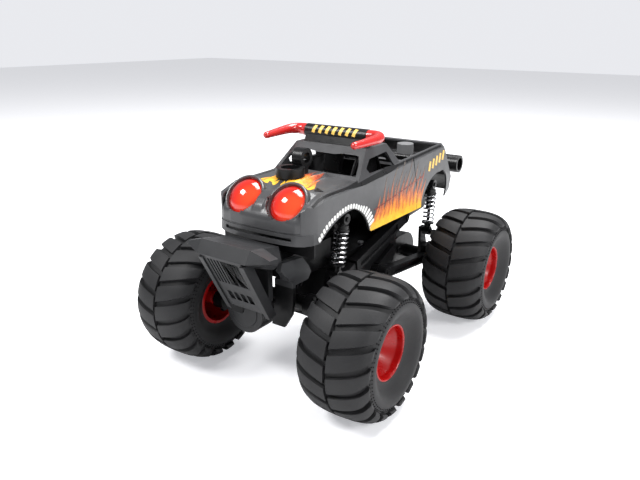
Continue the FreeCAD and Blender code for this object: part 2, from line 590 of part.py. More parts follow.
def chassis_tub():
    """Open-topped chassis box with the battery opening, door ears and the rear arms' pins."""
    y0, y1 = TUB_Y
    t = 2.0
    outer = prism_y([(-TUB_X, COVER_Z), (-TUB_X, 56), (-21, BELLY_Z), (21, BELLY_Z), (TUB_X, 56),
                     (TUB_X, COVER_Z)], (y0, y1))
    inner = prism_y([(-TUB_X + t, COVER_Z + 1), (-TUB_X + t, 57), (-20, BELLY_Z + t), (20, BELLY_Z + t),
                     (TUB_X - t, 57), (TUB_X - t, COVER_Z + 1)], (y0 + t, y1 - t))
    ears = [box((-DOOR_X - 1.8, -DOOR_X + 1.4), y, (DOOR_HINGE_Z - 1.4, BELLY_Z))
            for y in ((DOOR_Y[0] - 3.4, DOOR_Y[0] - 0.4), (DOOR_Y[1] + 0.4, DOOR_Y[1] + 3.4))]
    pins = [rod_x(ARM_PIN_RADIUS, (TUB_X - 1, 43.5), REAR_PIVOT)]
    shoulder = rod_x(5.5, (TUB_X - 1, 33.4), REAR_PIVOT)
    left = joined(*pins, shoulder)
    steps = [prism_x([(8, 70), (36, 80), (38, 72), (30, 52), (26, 50), (14, 62)], (TUB_X - 1, 31.5))]
    pad = box((-PAD_HALF_X, PAD_HALF_X), PAD_Y, (PAD_Z, BELLY_Z + 1))
    tub = joined(outer.cut(inner), *ears, pad, left, mirrored(left), *steps,
                 *[mirrored(s) for s in steps])
    opening = box((-DOOR_X + 2.5, DOOR_X - 2.5), (DOOR_Y[0] + 3, DOOR_Y[1] - 3), (BELLY_Z - 1, BELLY_Z + 5))
    hinge = rod_y(0.8 + RUNNING, (DOOR_Y[0] - 4, DOOR_Y[1] + 4), (-DOOR_X, DOOR_HINGE_Z))
    switch_hole = box((-3.1, 3.1), (29.9, 42.1), (BELLY_Z - 1, BELLY_Z + 5))
    return tub.cut([opening, hinge, switch_hole])


def chassis_cover():
    """Lid of the tub with the nose and tail beams, the front arms' pivots and the body posts."""
    lid = box((-TUB_X, TUB_X), TUB_Y, (COVER_Z, COVER_Z + 3))
    nose = prism_x([(TUB_Y[0] + 6, COVER_Z), (TUB_Y[0] + 6, 109), (-118, 109), (-118, 96), (-84, 88),
                    (TUB_Y[0] - 0.4, 86)], (-20, 20))
    nose = nose.cut(box((-21, 21), (TUB_Y[0] - 0.2, TUB_Y[0] + 8), (80, COVER_Z)))
    tail = prism_x([(TUB_Y[1] - 6, COVER_Z), (TUB_Y[1] - 6, 101), (122, 104), (122, 94), (60, COVER_Z)],
                   (-20, 20))
    towers = box((-30.4, 30.4), (FRONT_PIVOT[0] - 5, FRONT_PIVOT[0] + 5), (COVER_Z + 2, 111))
    pin = rod_x(ARM_PIN_RADIUS, (-40.5, 40.5), FRONT_PIVOT)
    lid = joined(lid, nose, tail, towers, pin)
    posts = [rod_z(3.4, (COVER_Z + 2, BED_FLOOR_Z), (x, y)) for x in (-15, 15) for y in (-34, 30)]
    return joined(lid, *posts)


def shock_towers():
    """Front and rear cross plates with the pins that the shocks hang on."""
    pieces = []
    for (y, z), x, foot_z in ((FRONT_SHOCK_TOP, SHOCK_X, 109.0), (REAR_SHOCK_TOP, REAR_SHOCK_X, 102.4)):
        lo, hi = y - 2.6, y + 2.6
        inboard = x - 4.0
        waist = x - 7.0
        right = [(16, foot_z), (waist, z - 11), (waist, z - 4.2), (inboard, z - 4.2), (inboard, z + 4.5),
                 (inboard - 9, z + 4.5), (10, z - 6)]
        plate = prism_y(right + [(-px, pz) for px, pz in reversed(right)], (lo, hi))
        pins = [rod_x(SHOCK_PIN_RADIUS, (inboard - 2, x + 4.6), (y, z))]
        pieces.append(joined(plate, *pins, *[mirrored(p) for p in pins]))
    front, rear = pieces
    beam_top = prism_x([(80, 90), (80, 102.52), (112, 103.73), (112, 90)], (-40, 40))
    return front, rear.cut(beam_top)


def front_bumper():
    """Skid bumper: brow panel with swept wings, slotted grille plate and lower bars."""
    front = -HALF_LENGTH
    brow = prism_x([(front, 118.5), (front + 5.5, 127.5), (-121.5, 121.5), (-118, 108), (-128, 106),
                    (-146, 113)], (-22, 22))
    wing = Part.makeLoft([
        Part.makePolygon([Vector(21.5, y, z) for y, z in
                          ((front, 118.5), (front + 5.5, 127.5), (-138, 125), (-140, 112), (front, 118.5))]),
        Part.makePolygon([Vector(37, y, z) for y, z in
                          ((-151, 120.5), (-150, 122.5), (-141, 121.5), (-142, 117), (-151, 120.5))])],
        True, True)
    slope = (132.0 - HALF_LENGTH) / (118.5 - 72.5) * -1
    plate = prism_x([(front, 118.5), (front + 6, 118.5), (-126, 71.5), (-131.5, 71.5)], (-18, 18))
    spine = prism_x([(-131.5, 71.5), (-126, 71.5), (-119, 78), (-119, 110), (-124, 110), (-124, 82),
                     (-128, 76)], (-14, 14))
    skid = prism_x([(-131.5, 71.5), (-99, 53.5), (-80, 51.5), (TUB_Y[0], 43), (TUB_Y[0], 47.5), (-80, 54.8),
                    (-98, 56.8), (-126, 75)], (-5.5, 5.5))
    rails = [prism_x([(front, 116), (front + 8, 118.5), (-124, 70), (-131, 68)], (16.5, 20.5))]

    def face_y(z):
        return front + (118.5 - z) * slope

    slots = []
    for k in range(10):
        x = -13.05 + 2.9 * k
        slots.append(prism_x([(face_y(116) - 2, 116), (face_y(116) + 8, 116),
                              (face_y(95) + 8, 95), (face_y(95) - 2, 95)], (x - 0.8, x + 0.8)))
    for k in range(4):
        x = -9.0 + 6.0 * k
        slots.append(prism_x([(face_y(87) - 2, 87), (face_y(87) + 2.0, 87),
                              (face_y(79) + 2.0, 79), (face_y(79) - 2, 79)], (x - 2.2, x + 2.2)))
    bumper = joined(brow, wing, mirrored(wing), plate, spine, skid, *rails, *[mirrored(r) for r in rails])
    return bumper.cut(slots)


def side_guards():
    """Faceted guards with cooling ribs on both sides of the nose, each with a shield below it."""
    block = prism_x([(-126, 105), (-121, 109), (-98, 107), (-92, 95), (-96, 90), (-114, 90.5)], (20, 29))
    chamfer = prism_y([(24, 110), (30, 110), (30, 98)], (-130, -88))
    ribs = [prism_x([(y, 86), (y + 2, 86), (y + 4.5, 90.8), (y + 2.5, 90.8)], (21, 27))
            for y in (-113, -108, -103)]
    bumper_room = box((10, 22.2), (-130, -117.9), (80, 120))
    shield = prism_x([(-117.6, 95), (-114.2, 95), (-114.2, 79), (-119.0, 60), (-121.4, 60), (-117.6, 78)],
                     (14.6, 31))
    notch = prism_y([(25, 58), (32, 58), (32, 72)], (-123, -112))
    return joined(block.cut([chamfer, bumper_room]), *ribs, shield.cut(notch))


def chassis():
    save("chassis_tub", chassis_tub())
    save("chassis_cover", chassis_cover())
    save("shock_towers", *shock_towers())
    save("front_bumper", front_bumper())
    guard = side_guards()
    save("nose_guards", guard, mirrored(guard))

    door = box((-DOOR_X, DOOR_X), DOOR_Y, (BELLY_Z - 2.2, BELLY_Z - 0.2))
    barrel = rod_y(1.0, DOOR_Y, (-DOOR_X, DOOR_HINGE_Z))
    pins = [rod_y(0.8, y, (-DOOR_X, DOOR_HINGE_Z)) for y in
            ((DOOR_Y[0] - 3.2, DOOR_Y[0]), (DOOR_Y[1], DOOR_Y[1] + 3.2))]
    grip = box((8, 14), (-14, -4), (BELLY_Z - 3.2, BELLY_Z - 2.2))
    save("battery_door", joined(door, barrel, *pins, grip))

    slider = joined(box((-2.9, 2.9), (30.1, 38.9), (BELLY_Z - 0.2, BELLY_Z + 1.6)),
                    box((-1.6, 1.6), (33, 36), (BELLY_Z - 2.2, BELLY_Z - 0.2)))
    save("power_switch", slider)

    cells = [rod_y(7.2, (-33, 16), (x, BELLY_Z + 11.2)) for x in (-7.2, 7.2)]
    sleeve = box((-7.2, 7.2), (-33, 16), (BELLY_Z + 4, BELLY_Z + 18.4))

    lead = joined(rod_z(1.2, (64, 78), (-4, 12)), rod_z(1.2, (64, 78), (0, 12)),
                  box((-6.5, 2.5), (9, 15), (78, 84)), box((-6.0, 2.0), (8, 16), (58.4, 64)))
    save("battery_pack", joined(*cells, sleeve), lead)

    board = joined(box((-20, 20), (20, 45), (74, 75.6)), box((-14, -4), (25, 33), (75.6, 79)),
                   box((4, 12), (36, 42), (75.6, 82)), rod_z(2.5, (75.6, 83), (12, 27)))
    stand = [rod_z(2.0, (BELLY_Z + 2, 74), (x, 43)) for x in (-16, 16)]
    save("circuit_board", joined(board, *stand))

    heads = []
    for x in (-23, 23):
        for y in (-50, -10, 34):
            heads.append(rod_z(2.6, (COVER_Z + 3, COVER_Z + 4.4), (x, y)))
    save("cover_screws", *heads)


# ---------------------------------------------------------------- body
def body_outline(inset=0.0):
    """(y, z) outline of the body side above the sill; inset shrinks the top and both ends."""
    i = inset
    return [(-120.5 + i, 130), (-120.5 + i, 140 - i * 0.4), (-112 + i * 0.5, 150 - i), (-95, 155.5 - i),
            (COWL_Y, BELT_Z - i), (CAB_BACK_Y - 4, 159.5 - i), (108.5 - i, 163.3 - i),
            (120.5 - i, 148), (138 - i, 126), (133 - i, 114), (116 - i, 108.5),
            (64.5, 110.4), (-28.6, 112), (-40, 122), (-101, 122), (-104, 130)]


def cab(inset):
    """Tapered cab block; inset shrinks every side."""
    i = inset

    def level(z, x, y0, y1):
        return Part.makePolygon([Vector(px, py, z) for px, py in
                                 ((-x, y0), (x, y0), (x, y1), (-x, y1), (-x, y0))])

    sunk = 2.0
    low = BELT_Z - sunk
    grow = sunk / (ROOF_Z - BELT_Z)
    foot = SIDE_X - 2.4
    x0 = foot + (foot - ROOF_X) * grow
    y0 = COWL_Y + (COWL_Y - ROOF_Y[0]) * grow
    y1 = CAB_BACK_Y + (CAB_BACK_Y - ROOF_Y[1]) * grow
    return Part.makeLoft([level(low, x0 - i, y0 + i, y1 - i),
                          level(ROOF_Z - i, ROOF_X - i, ROOF_Y[0] + i, ROOF_Y[1] - i)], True, True)


NOSE_PLAN = [(0, -120.2), (12, -119.9), (24, -118.8), (33, -116.6), (38.4, -113.4), (41.4, -108.8),
             (42.7, -103), (SIDE_X, -96)]


def nose_line(inset):
    """(x, y) points of the bowed front edge from the right side round to the left."""
    scale = (SIDE_X - inset) / SIDE_X
    left = [(x * scale, y + inset) for x, y in NOSE_PLAN]
    return [(-x, y) for x, y in reversed(left[1:])] + left


def plan(inset):
    """Tall prism of the body's outline seen from above, with its bowed nose."""
    x = SIDE_X - inset
    return prism_z(nose_line(inset) + [(x, 112), (x - 3, 138.5), (-x + 3, 138.5), (-x, 112)], (90, 200))


def shoulder_cuts(inset, size):
    """Wedges that chamfer both upper side edges along the belt line."""
    x = SIDE_X - inset
    stations = []
    for y, z in body_outline(inset)[1:9]:
        corners = [(x - size - 1, z + 1), (x + 1, z - size - 1), (x + 1, z + 1), (x - size - 1, z + 1)]
        stations.append(Part.makePolygon([Vector(px, y, pz) for px, pz in corners]))
    wedge = Part.makeLoft(stations, True, True)
    return [wedge, mirrored(wedge)]


def arch(points):
    """Wheel arch cutter through both body sides from three-point arcs."""
    edges = []
    for a, b, c in points:
        edges.append(Part.Arc(*[Vector(-60, y, z) for y, z in (a, b, c)]).toShape())
    first, last = points[0][0], points[-1][2]
    edges.append(Part.makeLine(Vector(-60, *last), Vector(-60, last[0], 90)))
    edges.append(Part.makeLine(Vector(-60, last[0], 90), Vector(-60, first[0], 90)))
    edges.append(Part.makeLine(Vector(-60, first[0], 90), Vector(-60, *first)))
    return Part.Face(Part.Wire(edges)).extrude(Vector(120, 0, 0))


FRONT_ARCH = [((-101.5, 121.5), (-76, 134.5), (-56, 137)), ((-56, 137), (-40.5, 128), (-30, 111.5))]
REAR_ARCH = [((64.5, 110), (78, 131), (102, 137.2)), ((102, 137.2), (121, 128.5), (117.5, 108))]


def side_window():
    return prism_x([(-23, 168.8), (5.5, 170.5), (13, 158.2), (-27, 158.2), (-31, 162.5)], (-60, 60))


def hood_area():
    """Tall block over the area of the bonnet panel."""
    return box((-HOOD_HALF_X, HOOD_HALF_X), (-125, COWL_Y - 5), (136, 190))


def lamp_bar(radius, start, end, side):
    """Round bar on a lamp's axis, measured outwards from the lens centre."""
    tilt = math.radians(LAMP_TILT)
    axis = Vector(0, -math.cos(tilt), math.sin(tilt))
    centre = Vector(side * LAMP_X, LAMP_AT[0], LAMP_AT[1])
    return Part.makeCylinder(radius, end - start, centre + axis * start, axis)


def bonnet_profile(lift):
    return [(-119.4, 139 + lift), (-112, 150 + lift), (-95, 155.5 + lift), (COWL_Y - 5, 155.9 + lift)]


def body():
    outer = prism_x(body_outline(), (-SIDE_X, SIDE_X)).common(plan(0)).cut(shoulder_cuts(0, SHOULDER))
    outer = outer.fuse(cab(0)).removeSplitter()
    cavity = prism_x(body_outline(WALL), (-SIDE_X, SIDE_X)).common(plan(WALL))
    cavity = cavity.cut(shoulder_cuts(WALL, SHOULDER - 0.5)).fuse(cab(WALL))
    below = prism_x([(-115, 90), (-115, 131), (-100, 150), (120, 150), (136, 127), (131, 114), (130, 90)],
                    (-SIDE_X + WALL, SIDE_X - WALL)).common(plan(WALL))
    shell = outer.cut([cavity, below, arch(FRONT_ARCH), arch(REAR_ARCH), side_window()])
    screen = prism_y([(-36.5, 158.0), (36.5, 158.0), (34.2, 165.5), (30.5, 171.2), (22, 172.4), (8, 170.8),
                      (-8, 170.8), (-22, 172.4), (-30.5, 171.2), (-34.2, 165.5)], (-80, -12))
    back_window = prism_y([(-28, 160.5), (28, 160.5), (25, 171), (-25, 171)], (5, 60))
    bed_top = prism_z([(-SIDE_X + 4.5, CAB_BACK_Y + 3), (SIDE_X - 4.5, CAB_BACK_Y + 3), (SIDE_X - 4.5, 103),
                       (-SIDE_X + 4.5, 103)], (150, 185))
    shell = shell.cut([screen, back_window, bed_top, hood_area()])
    save("body_shell", max(shell.Solids, key=lambda s: s.Volume))

    skin = prism_x(bonnet_profile(0) + list(reversed(bonnet_profile(-1.8))), (-HOOD_HALF_X, HOOD_HALF_X))
    ridge = prism_x([(-90, 155), (-84, 159.5), (COWL_Y - 5, 160.5), (COWL_Y - 5, 155)], (-15, 15))
    bowls = [lamp_bar(LAMP_RADIUS + 1.4, -9, 2.4, s) for s in (1, -1)]
    panel = joined(skin.cut([lamp_bar(LAMP_RADIUS + 0.5, -20, 25, s) for s in (1, -1)]), ridge, *bowls)
    panel = panel.cut([lamp_bar(LAMP_RADIUS, -7.4, 25, s) for s in (1, -1)])
    panel = panel.cut(rod_z(9.0, (154, 175), BLOWER_AT))
    panel = panel.common(hood_area()).common(plan(0))
    save("bonnet", max(panel.Solids, key=lambda s: s.Volume))

    lenses = []
    for side in (1, -1):
        dome = Part.makeSphere(17.5)
        hollow = Part.makeSphere(15.9)
        tilt = math.radians(LAMP_TILT)
        axis = Vector(0, -math.cos(tilt), math.sin(tilt))
        centre = Vector(side * LAMP_X, LAMP_AT[0], LAMP_AT[1]) - axis * 10.5
        for ball in (dome, hollow):
            ball.translate(centre)
        lenses.append(dome.cut(hollow).common(lamp_bar(LAMP_RADIUS, -4, 12, side)))
    save("headlamp_lenses", *lenses)
    save("headlamp_leds", *[lamp_bar(2.5, -7.4, -3.0, s) for s in (1, -1)])

    lip = prism_x([(-121, 122), (-121, 130), (-104, 130), (-101.6, 122)], (-SIDE_X, SIDE_X))
    lip_plan = prism_z([(x, y - 0.6) for x, y in nose_line(0)], (110, 140))
    hollow = prism_z([(x, y - 0.6) for x, y in nose_line(2.2)], (110, 140))
    slot = box((-30, 30), (-125, -110), (125.2, 127.8))
    lip = lip.common(lip_plan).cut([hollow, slot])
    bulkhead = box((-SIDE_X + 1, SIDE_X - 1), (-107, -105), (112, 130))
    lip = joined(lip, bulkhead)
    save("front_valance", max(lip.Solids, key=lambda s: s.Volume))

    floor = box((-SIDE_X + WALL, SIDE_X - WALL), (CAB_BACK_Y + 4, 112), (BED_FLOOR_Z, BED_FLOOR_Z + 2))
    bulkhead = box((-38, 38), (CAB_BACK_Y + 4, CAB_BACK_Y + 6), (BED_FLOOR_Z, 154))
    neck_hole = rod_z(5.4, (130, 145), FILLER_AT)
    save("bed_liner", joined(floor, bulkhead).cut(neck_hole))


def cabin():
    floor = box((-36, 36), (COWL_Y + 4, CAB_BACK_Y + 3.6), (BED_FLOOR_Z, BED_FLOOR_Z + 2))
    dash = prism_x([(COWL_Y + 4, BED_FLOOR_Z), (COWL_Y + 4, 152), (COWL_Y + 12, 155), (COWL_Y + 15, 140)],
                   (-36, 36))
    seats = []
    for x in (-17, 17):
        cushion = box((x - 9, x + 9), (-14, 6), (BED_FLOOR_Z, 147))
        back = prism_x([(2, 146), (8, 146), (13, 164), (8, 165)], (x - 8, x + 8))
        head = prism_x([(8.2, 164), (12.8, 163), (13.4, 170), (9.4, 170.6)], (x - 4.5, x + 4.5))
        seats += [cushion, back, head]
    bars = []
    for x in (-27.5, 27.5):
        low, high = Vector(x, COWL_Y + 8, 150), Vector(x * 0.9, ROOF_Y[0] + 4, 173)
        bars.append(Part.makeCylinder(1.3, (high - low).Length, low, high - low))
        bars.append(rod_y(1.3, (ROOF_Y[0] + 3.4, ROOF_Y[1] - 4), (x * 0.9, 173)))
        rear_low = Vector(x, CAB_BACK_Y - 6, 139)
        rear_high = Vector(x * 0.9, ROOF_Y[1] - 5, 173)
        bars.append(Part.makeCylinder(1.3, (rear_high - rear_low).Length, rear_low, rear_high - rear_low))
    save("cab_interior", joined(floor, dash, *seats, *bars))


def roof_gear():
    """Roof bar with its saddle and swept tube ends, the blower, the bed hoop, the tank and the rear tube."""
    at = ROOF_BAR_AT
    end = ROOF_BAR_HALF
    bar = rod_x(ROOF_BAR_RADIUS, (-end, end), at)
    saddle = prism_x([(-21, ROOF_Z), (-5, ROOF_Z), (-8.5, 182.5), (-18.5, 182.5)], (-28, 28))
    socket = [rod_x(3.0, (end, end + 3.5), at), rod_x(3.0, (-end - 3.5, -end), at)]
    save("roof_bar", joined(bar, saddle, *socket))

    path = Part.BSplineCurve()
    path.interpolate([Vector(end + 0.1, at[0], at[1]), Vector(38, at[0] - 0.5, at[1] + 0.4),
                      Vector(43.2, at[0] - 9, at[1] + 0.6), Vector(42.6, at[0] - 24, at[1] + 0.1),
                      Vector(41.0, at[0] - 42, at[1] - 0.4)])
    curve = path.toShape()
    sections = []
    for share, radius in ((0.0, 5.2), (0.3, 4.9), (0.6, 4.2), (0.85, 3.4), (1.0, 2.6)):
        u = path.FirstParameter + (path.LastParameter - path.FirstParameter) * share
        sections.append(Part.Wire(Part.makeCircle(radius, path.value(u), Vector(*path.tangent(u)[0]))))
    sweep = Part.makeLoft(sections, True, False).cut([rod_x(3.0, (end - 0.5, end + 3.5), at), bar])
    save("roof_bar_ends", sweep, mirrored(sweep))

    base = rod_z(9.0, (155.4, 160.6), BLOWER_AT)
    collar = rod_z(11.0, (160.6, 167.5), BLOWER_AT).cut(rod_z(7.2, (162.5, 169), BLOWER_AT))
    stem = box((-4.5, 4.5), (-68, -61), (160.5, 170))
    scoop = rod_x(7.5, (-4.5, 4.5), (-63, 172.5)).cut(rod_x(4.2, (-6, 6), (-63, 172.5)))
    stem = stem.cut(rod_x(4.2, (-6, 6), (-63, 172.5)))
    blower = joined(base, collar, stem, scoop)
    save("engine_blower", blower)

    hoop = [rod_x(2.4, (-33, 33), (56, 157)), rod_z(2.4, (BED_FLOOR_Z + 2, 157), (-33, 56)),
            rod_z(2.4, (BED_FLOOR_Z + 2, 157), (33, 56)), Part.makeSphere(2.4, Vector(33, 56, 157)),
            Part.makeSphere(2.4, Vector(-33, 56, 157))]
    for x in (-33, 33):
        low = Vector(x, 100, BED_FLOOR_Z + 1.6)
        top = Vector(x, 56, 157)
        brace = Part.makeCylinder(2.0, (low - top).Length, top, low - top)
        hoop.append(brace.cut(box((-50, 50), (40, 120), (120, BED_FLOOR_Z + 2))))
    save("bed_hoop", joined(*hoop))

    neck = rod_z(FILLER_NECK_RADIUS, (137, 157), FILLER_AT)
    tank = joined(box((-14, 24), (62, 90), (113, BED_FLOOR_Z)), neck)
    legs = [box((px, px + 6), (64, 70), (102.0, 113)) for px in (-12, 12)]
    beam_top = prism_x([(42, 90), (42, 101), (122, 104), (122, 90)], (-40, 40))
    tank = joined(tank, *legs).cut([beam_top, rod_z(3.8, (116, 160), FILLER_AT)])
    save("mist_tank", tank)
    cap = rod_z(7.8, (154, 164), FILLER_AT)
    save("filler_cap", cap.cut(rod_z(FILLER_NECK_RADIUS + RUNNING, (150, 157.1), FILLER_AT)))

    tube = rod_x(REAR_TUBE_RADIUS, (-44, 44), TUBE_AT)
    tube = tube.cut([rod_x(6.2, (24, 50), TUBE_AT),
                     rod_x(6.2, (-50, -24), TUBE_AT)])
    stays = [prism_x([(122, 94.5), (122, 103.8), (136, 107), (140.6, 124), (144, 131), (150, 131), (146, 116),
                      (139, 98)], (px, px + 6))
             for px in (-18, 12)]
    save("rear_tube", joined(tube, *stays))


wheels()
steering()
swing_arms()
drive_train()
shocks()
chassis()
body()
cabin()
roof_gear()
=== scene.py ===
"""Looks of a 1:16 radio-controlled monster truck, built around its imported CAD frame.

Lengths inside this script are millimetres in the row frame (+Z up, the truck faces -Y, its left side is +X);
meshes are made in metres.
"""

import json
import math

import bmesh
import bpy
import numpy as np
from mathutils import Matrix, Vector


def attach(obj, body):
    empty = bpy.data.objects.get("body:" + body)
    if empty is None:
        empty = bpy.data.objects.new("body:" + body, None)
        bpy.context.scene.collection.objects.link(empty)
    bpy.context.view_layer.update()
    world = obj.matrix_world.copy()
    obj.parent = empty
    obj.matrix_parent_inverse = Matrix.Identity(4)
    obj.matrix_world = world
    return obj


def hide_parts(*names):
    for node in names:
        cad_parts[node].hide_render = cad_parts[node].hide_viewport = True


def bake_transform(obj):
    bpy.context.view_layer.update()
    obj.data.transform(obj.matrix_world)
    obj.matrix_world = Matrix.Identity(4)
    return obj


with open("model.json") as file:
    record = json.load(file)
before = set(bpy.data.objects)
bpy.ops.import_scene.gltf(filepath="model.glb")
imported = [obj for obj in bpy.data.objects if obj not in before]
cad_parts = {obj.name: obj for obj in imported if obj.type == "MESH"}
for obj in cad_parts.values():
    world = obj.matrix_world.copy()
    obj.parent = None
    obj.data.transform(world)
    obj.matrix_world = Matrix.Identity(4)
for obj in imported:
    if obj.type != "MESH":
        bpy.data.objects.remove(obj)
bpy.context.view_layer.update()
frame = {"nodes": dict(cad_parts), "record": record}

MM = 0.001

# ---------------------------------------------------------------- sizes that follow the CAD
WHEEL_X, FRONT_Y, REAR_Y, AXLE_Z = 80.0, -98.5, 98.5, 52.5
TYRE_RADIUS = 52.5
LUGS = 20
SIDE_X = 43.0
COWL_Y = -51.0
HOOD_X = 36.0
LAMP_X, LAMP_Y, LAMP_Z, LAMP_RADIUS, LAMP_TILT = 19.5, -107.5, 149.0, 14.0, math.radians(40.0)
BAR_Y, BAR_Z, BAR_RADIUS = -13.5, 184.6, 5.6
BLOWER_Y, BLOWER_HOLE = -78.0, 8.6
SHOCKS = {
    "front": ((-57.6, 128.2), (-66.9, 85.2), 35.0),
    "rear": ((95.6, 125.5), (92.0, 80.0), 38.0),
}


# ---------------------------------------------------------------- materials
class Nodes:
    """Short way to write a node tree."""

    def __init__(self, name):
        self.material = bpy.data.materials.new(name)
        self.material.use_nodes = True
        self.tree = self.material.node_tree
        self.shader = self.tree.nodes["Principled BSDF"]
        self.place = self.new("ShaderNodeTexCoord").outputs["Object"]

    def new(self, kind, **settings):
        node = self.tree.nodes.new(kind)
        for key, value in settings.items():
            setattr(node, key, value)
        return node

    def link(self, source, target):
        self.tree.links.new(source, target)

    def noise(self, scale, detail=4.0, rough=0.55, stretch=None):
        """Noise with scale counted per metre."""
        place = self.place
        if stretch:
            mapping = self.new("ShaderNodeMapping")
            mapping.inputs["Scale"].default_value = stretch
            self.link(place, mapping.inputs["Vector"])
            place = mapping.outputs["Vector"]
        node = self.new("ShaderNodeTexNoise")
        node.inputs["Scale"].default_value = scale
        node.inputs["Detail"].default_value = detail
        node.inputs["Roughness"].default_value = rough
        self.link(place, node.inputs["Vector"])
        return node.outputs["Fac"]

    def ramp(self, source, stops):
        node = self.new("ShaderNodeValToRGB")
        ramp = node.color_ramp
        ramp.elements[0].position, ramp.elements[0].color = stops[0][0], (*stops[0][1], 1)
        ramp.elements[1].position, ramp.elements[1].color = stops[-1][0], (*stops[-1][1], 1)
        for at, colour in stops[1:-1]:
            ramp.elements.new(at).color = (*colour, 1)
        self.link(source, node.inputs["Fac"])
        return node.outputs["Color"]

    def remap(self, source, low, high, from_low=0.0, from_high=1.0):
        node = self.new("ShaderNodeMapRange")
        node.inputs["From Min"].default_value = from_low
        node.inputs["From Max"].default_value = from_high
        node.inputs["To Min"].default_value = low
        node.inputs["To Max"].default_value = high
        self.link(source, node.inputs["Value"])
        return node.outputs["Result"]

    def mix(self, factor, a, b, blend="MIX"):
        node = self.new("ShaderNodeMix", data_type="RGBA", blend_type=blend)
        for value, socket in ((factor, node.inputs[0]), (a, node.inputs[6]), (b, node.inputs[7])):
            if isinstance(value, float):
                socket.default_value = value
            elif isinstance(value, tuple):
                socket.default_value = (*value, 1)
            else:
                self.link(value, socket)
        return node.outputs[2]

    def bump(self, height, strength, distance):
        node = self.new("ShaderNodeBump")
        node.inputs["Strength"].default_value = strength
        node.inputs["Distance"].default_value = distance
        self.link(height, node.inputs["Height"])
        self.link(node.outputs["Normal"], self.shader.inputs["Normal"])


CLOUD_SCALE, SCUFF_SCALE = 28.0, 150.0     # per metre
GRAIN_SCALE = 2600.0


def shaded(colour, factor):
    """The colour made darker or lighter."""
    return tuple(min(1.0, c * factor) for c in colour)


def plastic(name, colour, rough=0.4, coat=0.0, metallic=0.0, vary=0.16, grain=GRAIN_SCALE, bump=0.12,
            spread=0.07, emission=None, stretch=None, sheen=0.5):
    """Moulded or metal surface: cloudy colour, scuffed roughness and a fine grain."""
    n = Nodes(name)
    cloud = n.noise(CLOUD_SCALE, 3.0)
    speck = n.noise(grain * 0.35, 2.0, 0.6, stretch)
    tint = n.ramp(cloud, [(0.3, shaded(colour, 1 - vary)), (0.5, colour), (0.72, shaded(colour, 1 + vary))])
    tint = n.mix(n.remap(speck, 0.0, 0.35, 0.45, 0.8), tint, shaded(colour, 1 + 1.6 * vary))
    n.link(tint, n.shader.inputs["Base Color"])
    scuff = n.noise(SCUFF_SCALE, 5.0, 0.65)
    n.link(n.remap(scuff, rough - spread, rough + spread, 0.3, 0.7), n.shader.inputs["Roughness"])
    n.bump(n.noise(grain, 2.0, 0.5, stretch), bump, 0.0002)
    n.shader.inputs["Metallic"].default_value = metallic
    n.shader.inputs["Specular IOR Level"].default_value = sheen
    n.shader.inputs["Coat Weight"].default_value = coat
    n.shader.inputs["Coat Roughness"].default_value = 0.12
    if emission:
        n.shader.inputs["Emission Color"].default_value = (*emission[0], 1)
        n.shader.inputs["Emission Strength"].default_value = emission[1]
    return n.material


def split_at_height(name, upper, lower, level, rough=0.38, sheen=0.4):
    """Moulding whose part below a height (in mm) is black and grained like the chassis, and grey above it; on
    the nose guards the grey tops are a painted highlight where light falls on their top faces.
    """
    n = Nodes(name)
    split = n.new("ShaderNodeSeparateXYZ")
    n.link(n.place, split.inputs["Vector"])
    above = n.remap(split.outputs["Z"], 0.0, 1.0, (level - 0.1) * MM, (level + 0.1) * MM)
    cloud = n.noise(CLOUD_SCALE, 3.0)
    light = n.ramp(cloud, [(0.3, shaded(upper, 0.86)), (0.72, shaded(upper, 1.14))])
    dark = n.ramp(cloud, [(0.3, shaded(lower, 0.8)), (0.72, shaded(lower, 1.2))])
    n.link(n.mix(above, dark, light), n.shader.inputs["Base Color"])
    scuff = n.noise(SCUFF_SCALE, 5.0, 0.65)
    n.link(n.remap(scuff, rough - 0.07, rough + 0.07, 0.3, 0.7), n.shader.inputs["Roughness"])
    n.link(n.remap(above, 0.2, sheen), n.shader.inputs["Specular IOR Level"])
    n.bump(n.noise(GRAIN_SCALE, 2.0), 0.08, 0.0002)
    return n.material


def rubber(name, colour):
    """Tyre rubber: dusty cloud, moulding grain and a slight sheen."""
    n = Nodes(name)
    dust = n.noise(60.0, 6.0, 0.6)
    fine = n.noise(1400.0, 3.0, 0.6)
    tint = n.ramp(dust, [(0.3, shaded(colour, 0.8)), (0.55, colour), (0.75, shaded(colour, 1.35))])
    tint = n.mix(n.remap(fine, 0.0, 0.3, 0.4, 0.8), tint, shaded(colour, 1.6))
    n.link(tint, n.shader.inputs["Base Color"])
    n.link(n.remap(dust, 0.5, 0.7), n.shader.inputs["Roughness"])
    n.shader.inputs["Specular IOR Level"].default_value = 0.33
    n.bump(n.noise(900.0, 4.0, 0.6), 0.25, 0.0004)
    return n.material


def lens(name):
    """Lamp dome lit from behind: hot orange core and deep red edge."""
    n = Nodes(name)
    facing = n.new("ShaderNodeLayerWeight")
    facing.inputs["Blend"].default_value = 0.45
    glow = n.ramp(facing.outputs["Facing"], [(0.0, (0.80, 0.055, 0.012)), (0.35, (0.60, 0.012, 0.004)),
                                             (0.85, (0.12, 0.001, 0.001))])
    n.link(glow, n.shader.inputs["Base Color"])
    n.link(glow, n.shader.inputs["Emission Color"])
    ripple = n.noise(220.0, 2.0)
    n.link(n.remap(ripple, 0.28, 0.5), n.shader.inputs["Emission Strength"])
    n.shader.inputs["Roughness"].default_value = 0.12
    n.shader.inputs["Coat Weight"].default_value = 0.6
    n.bump(ripple, 0.15, 0.0005)
    return n.material


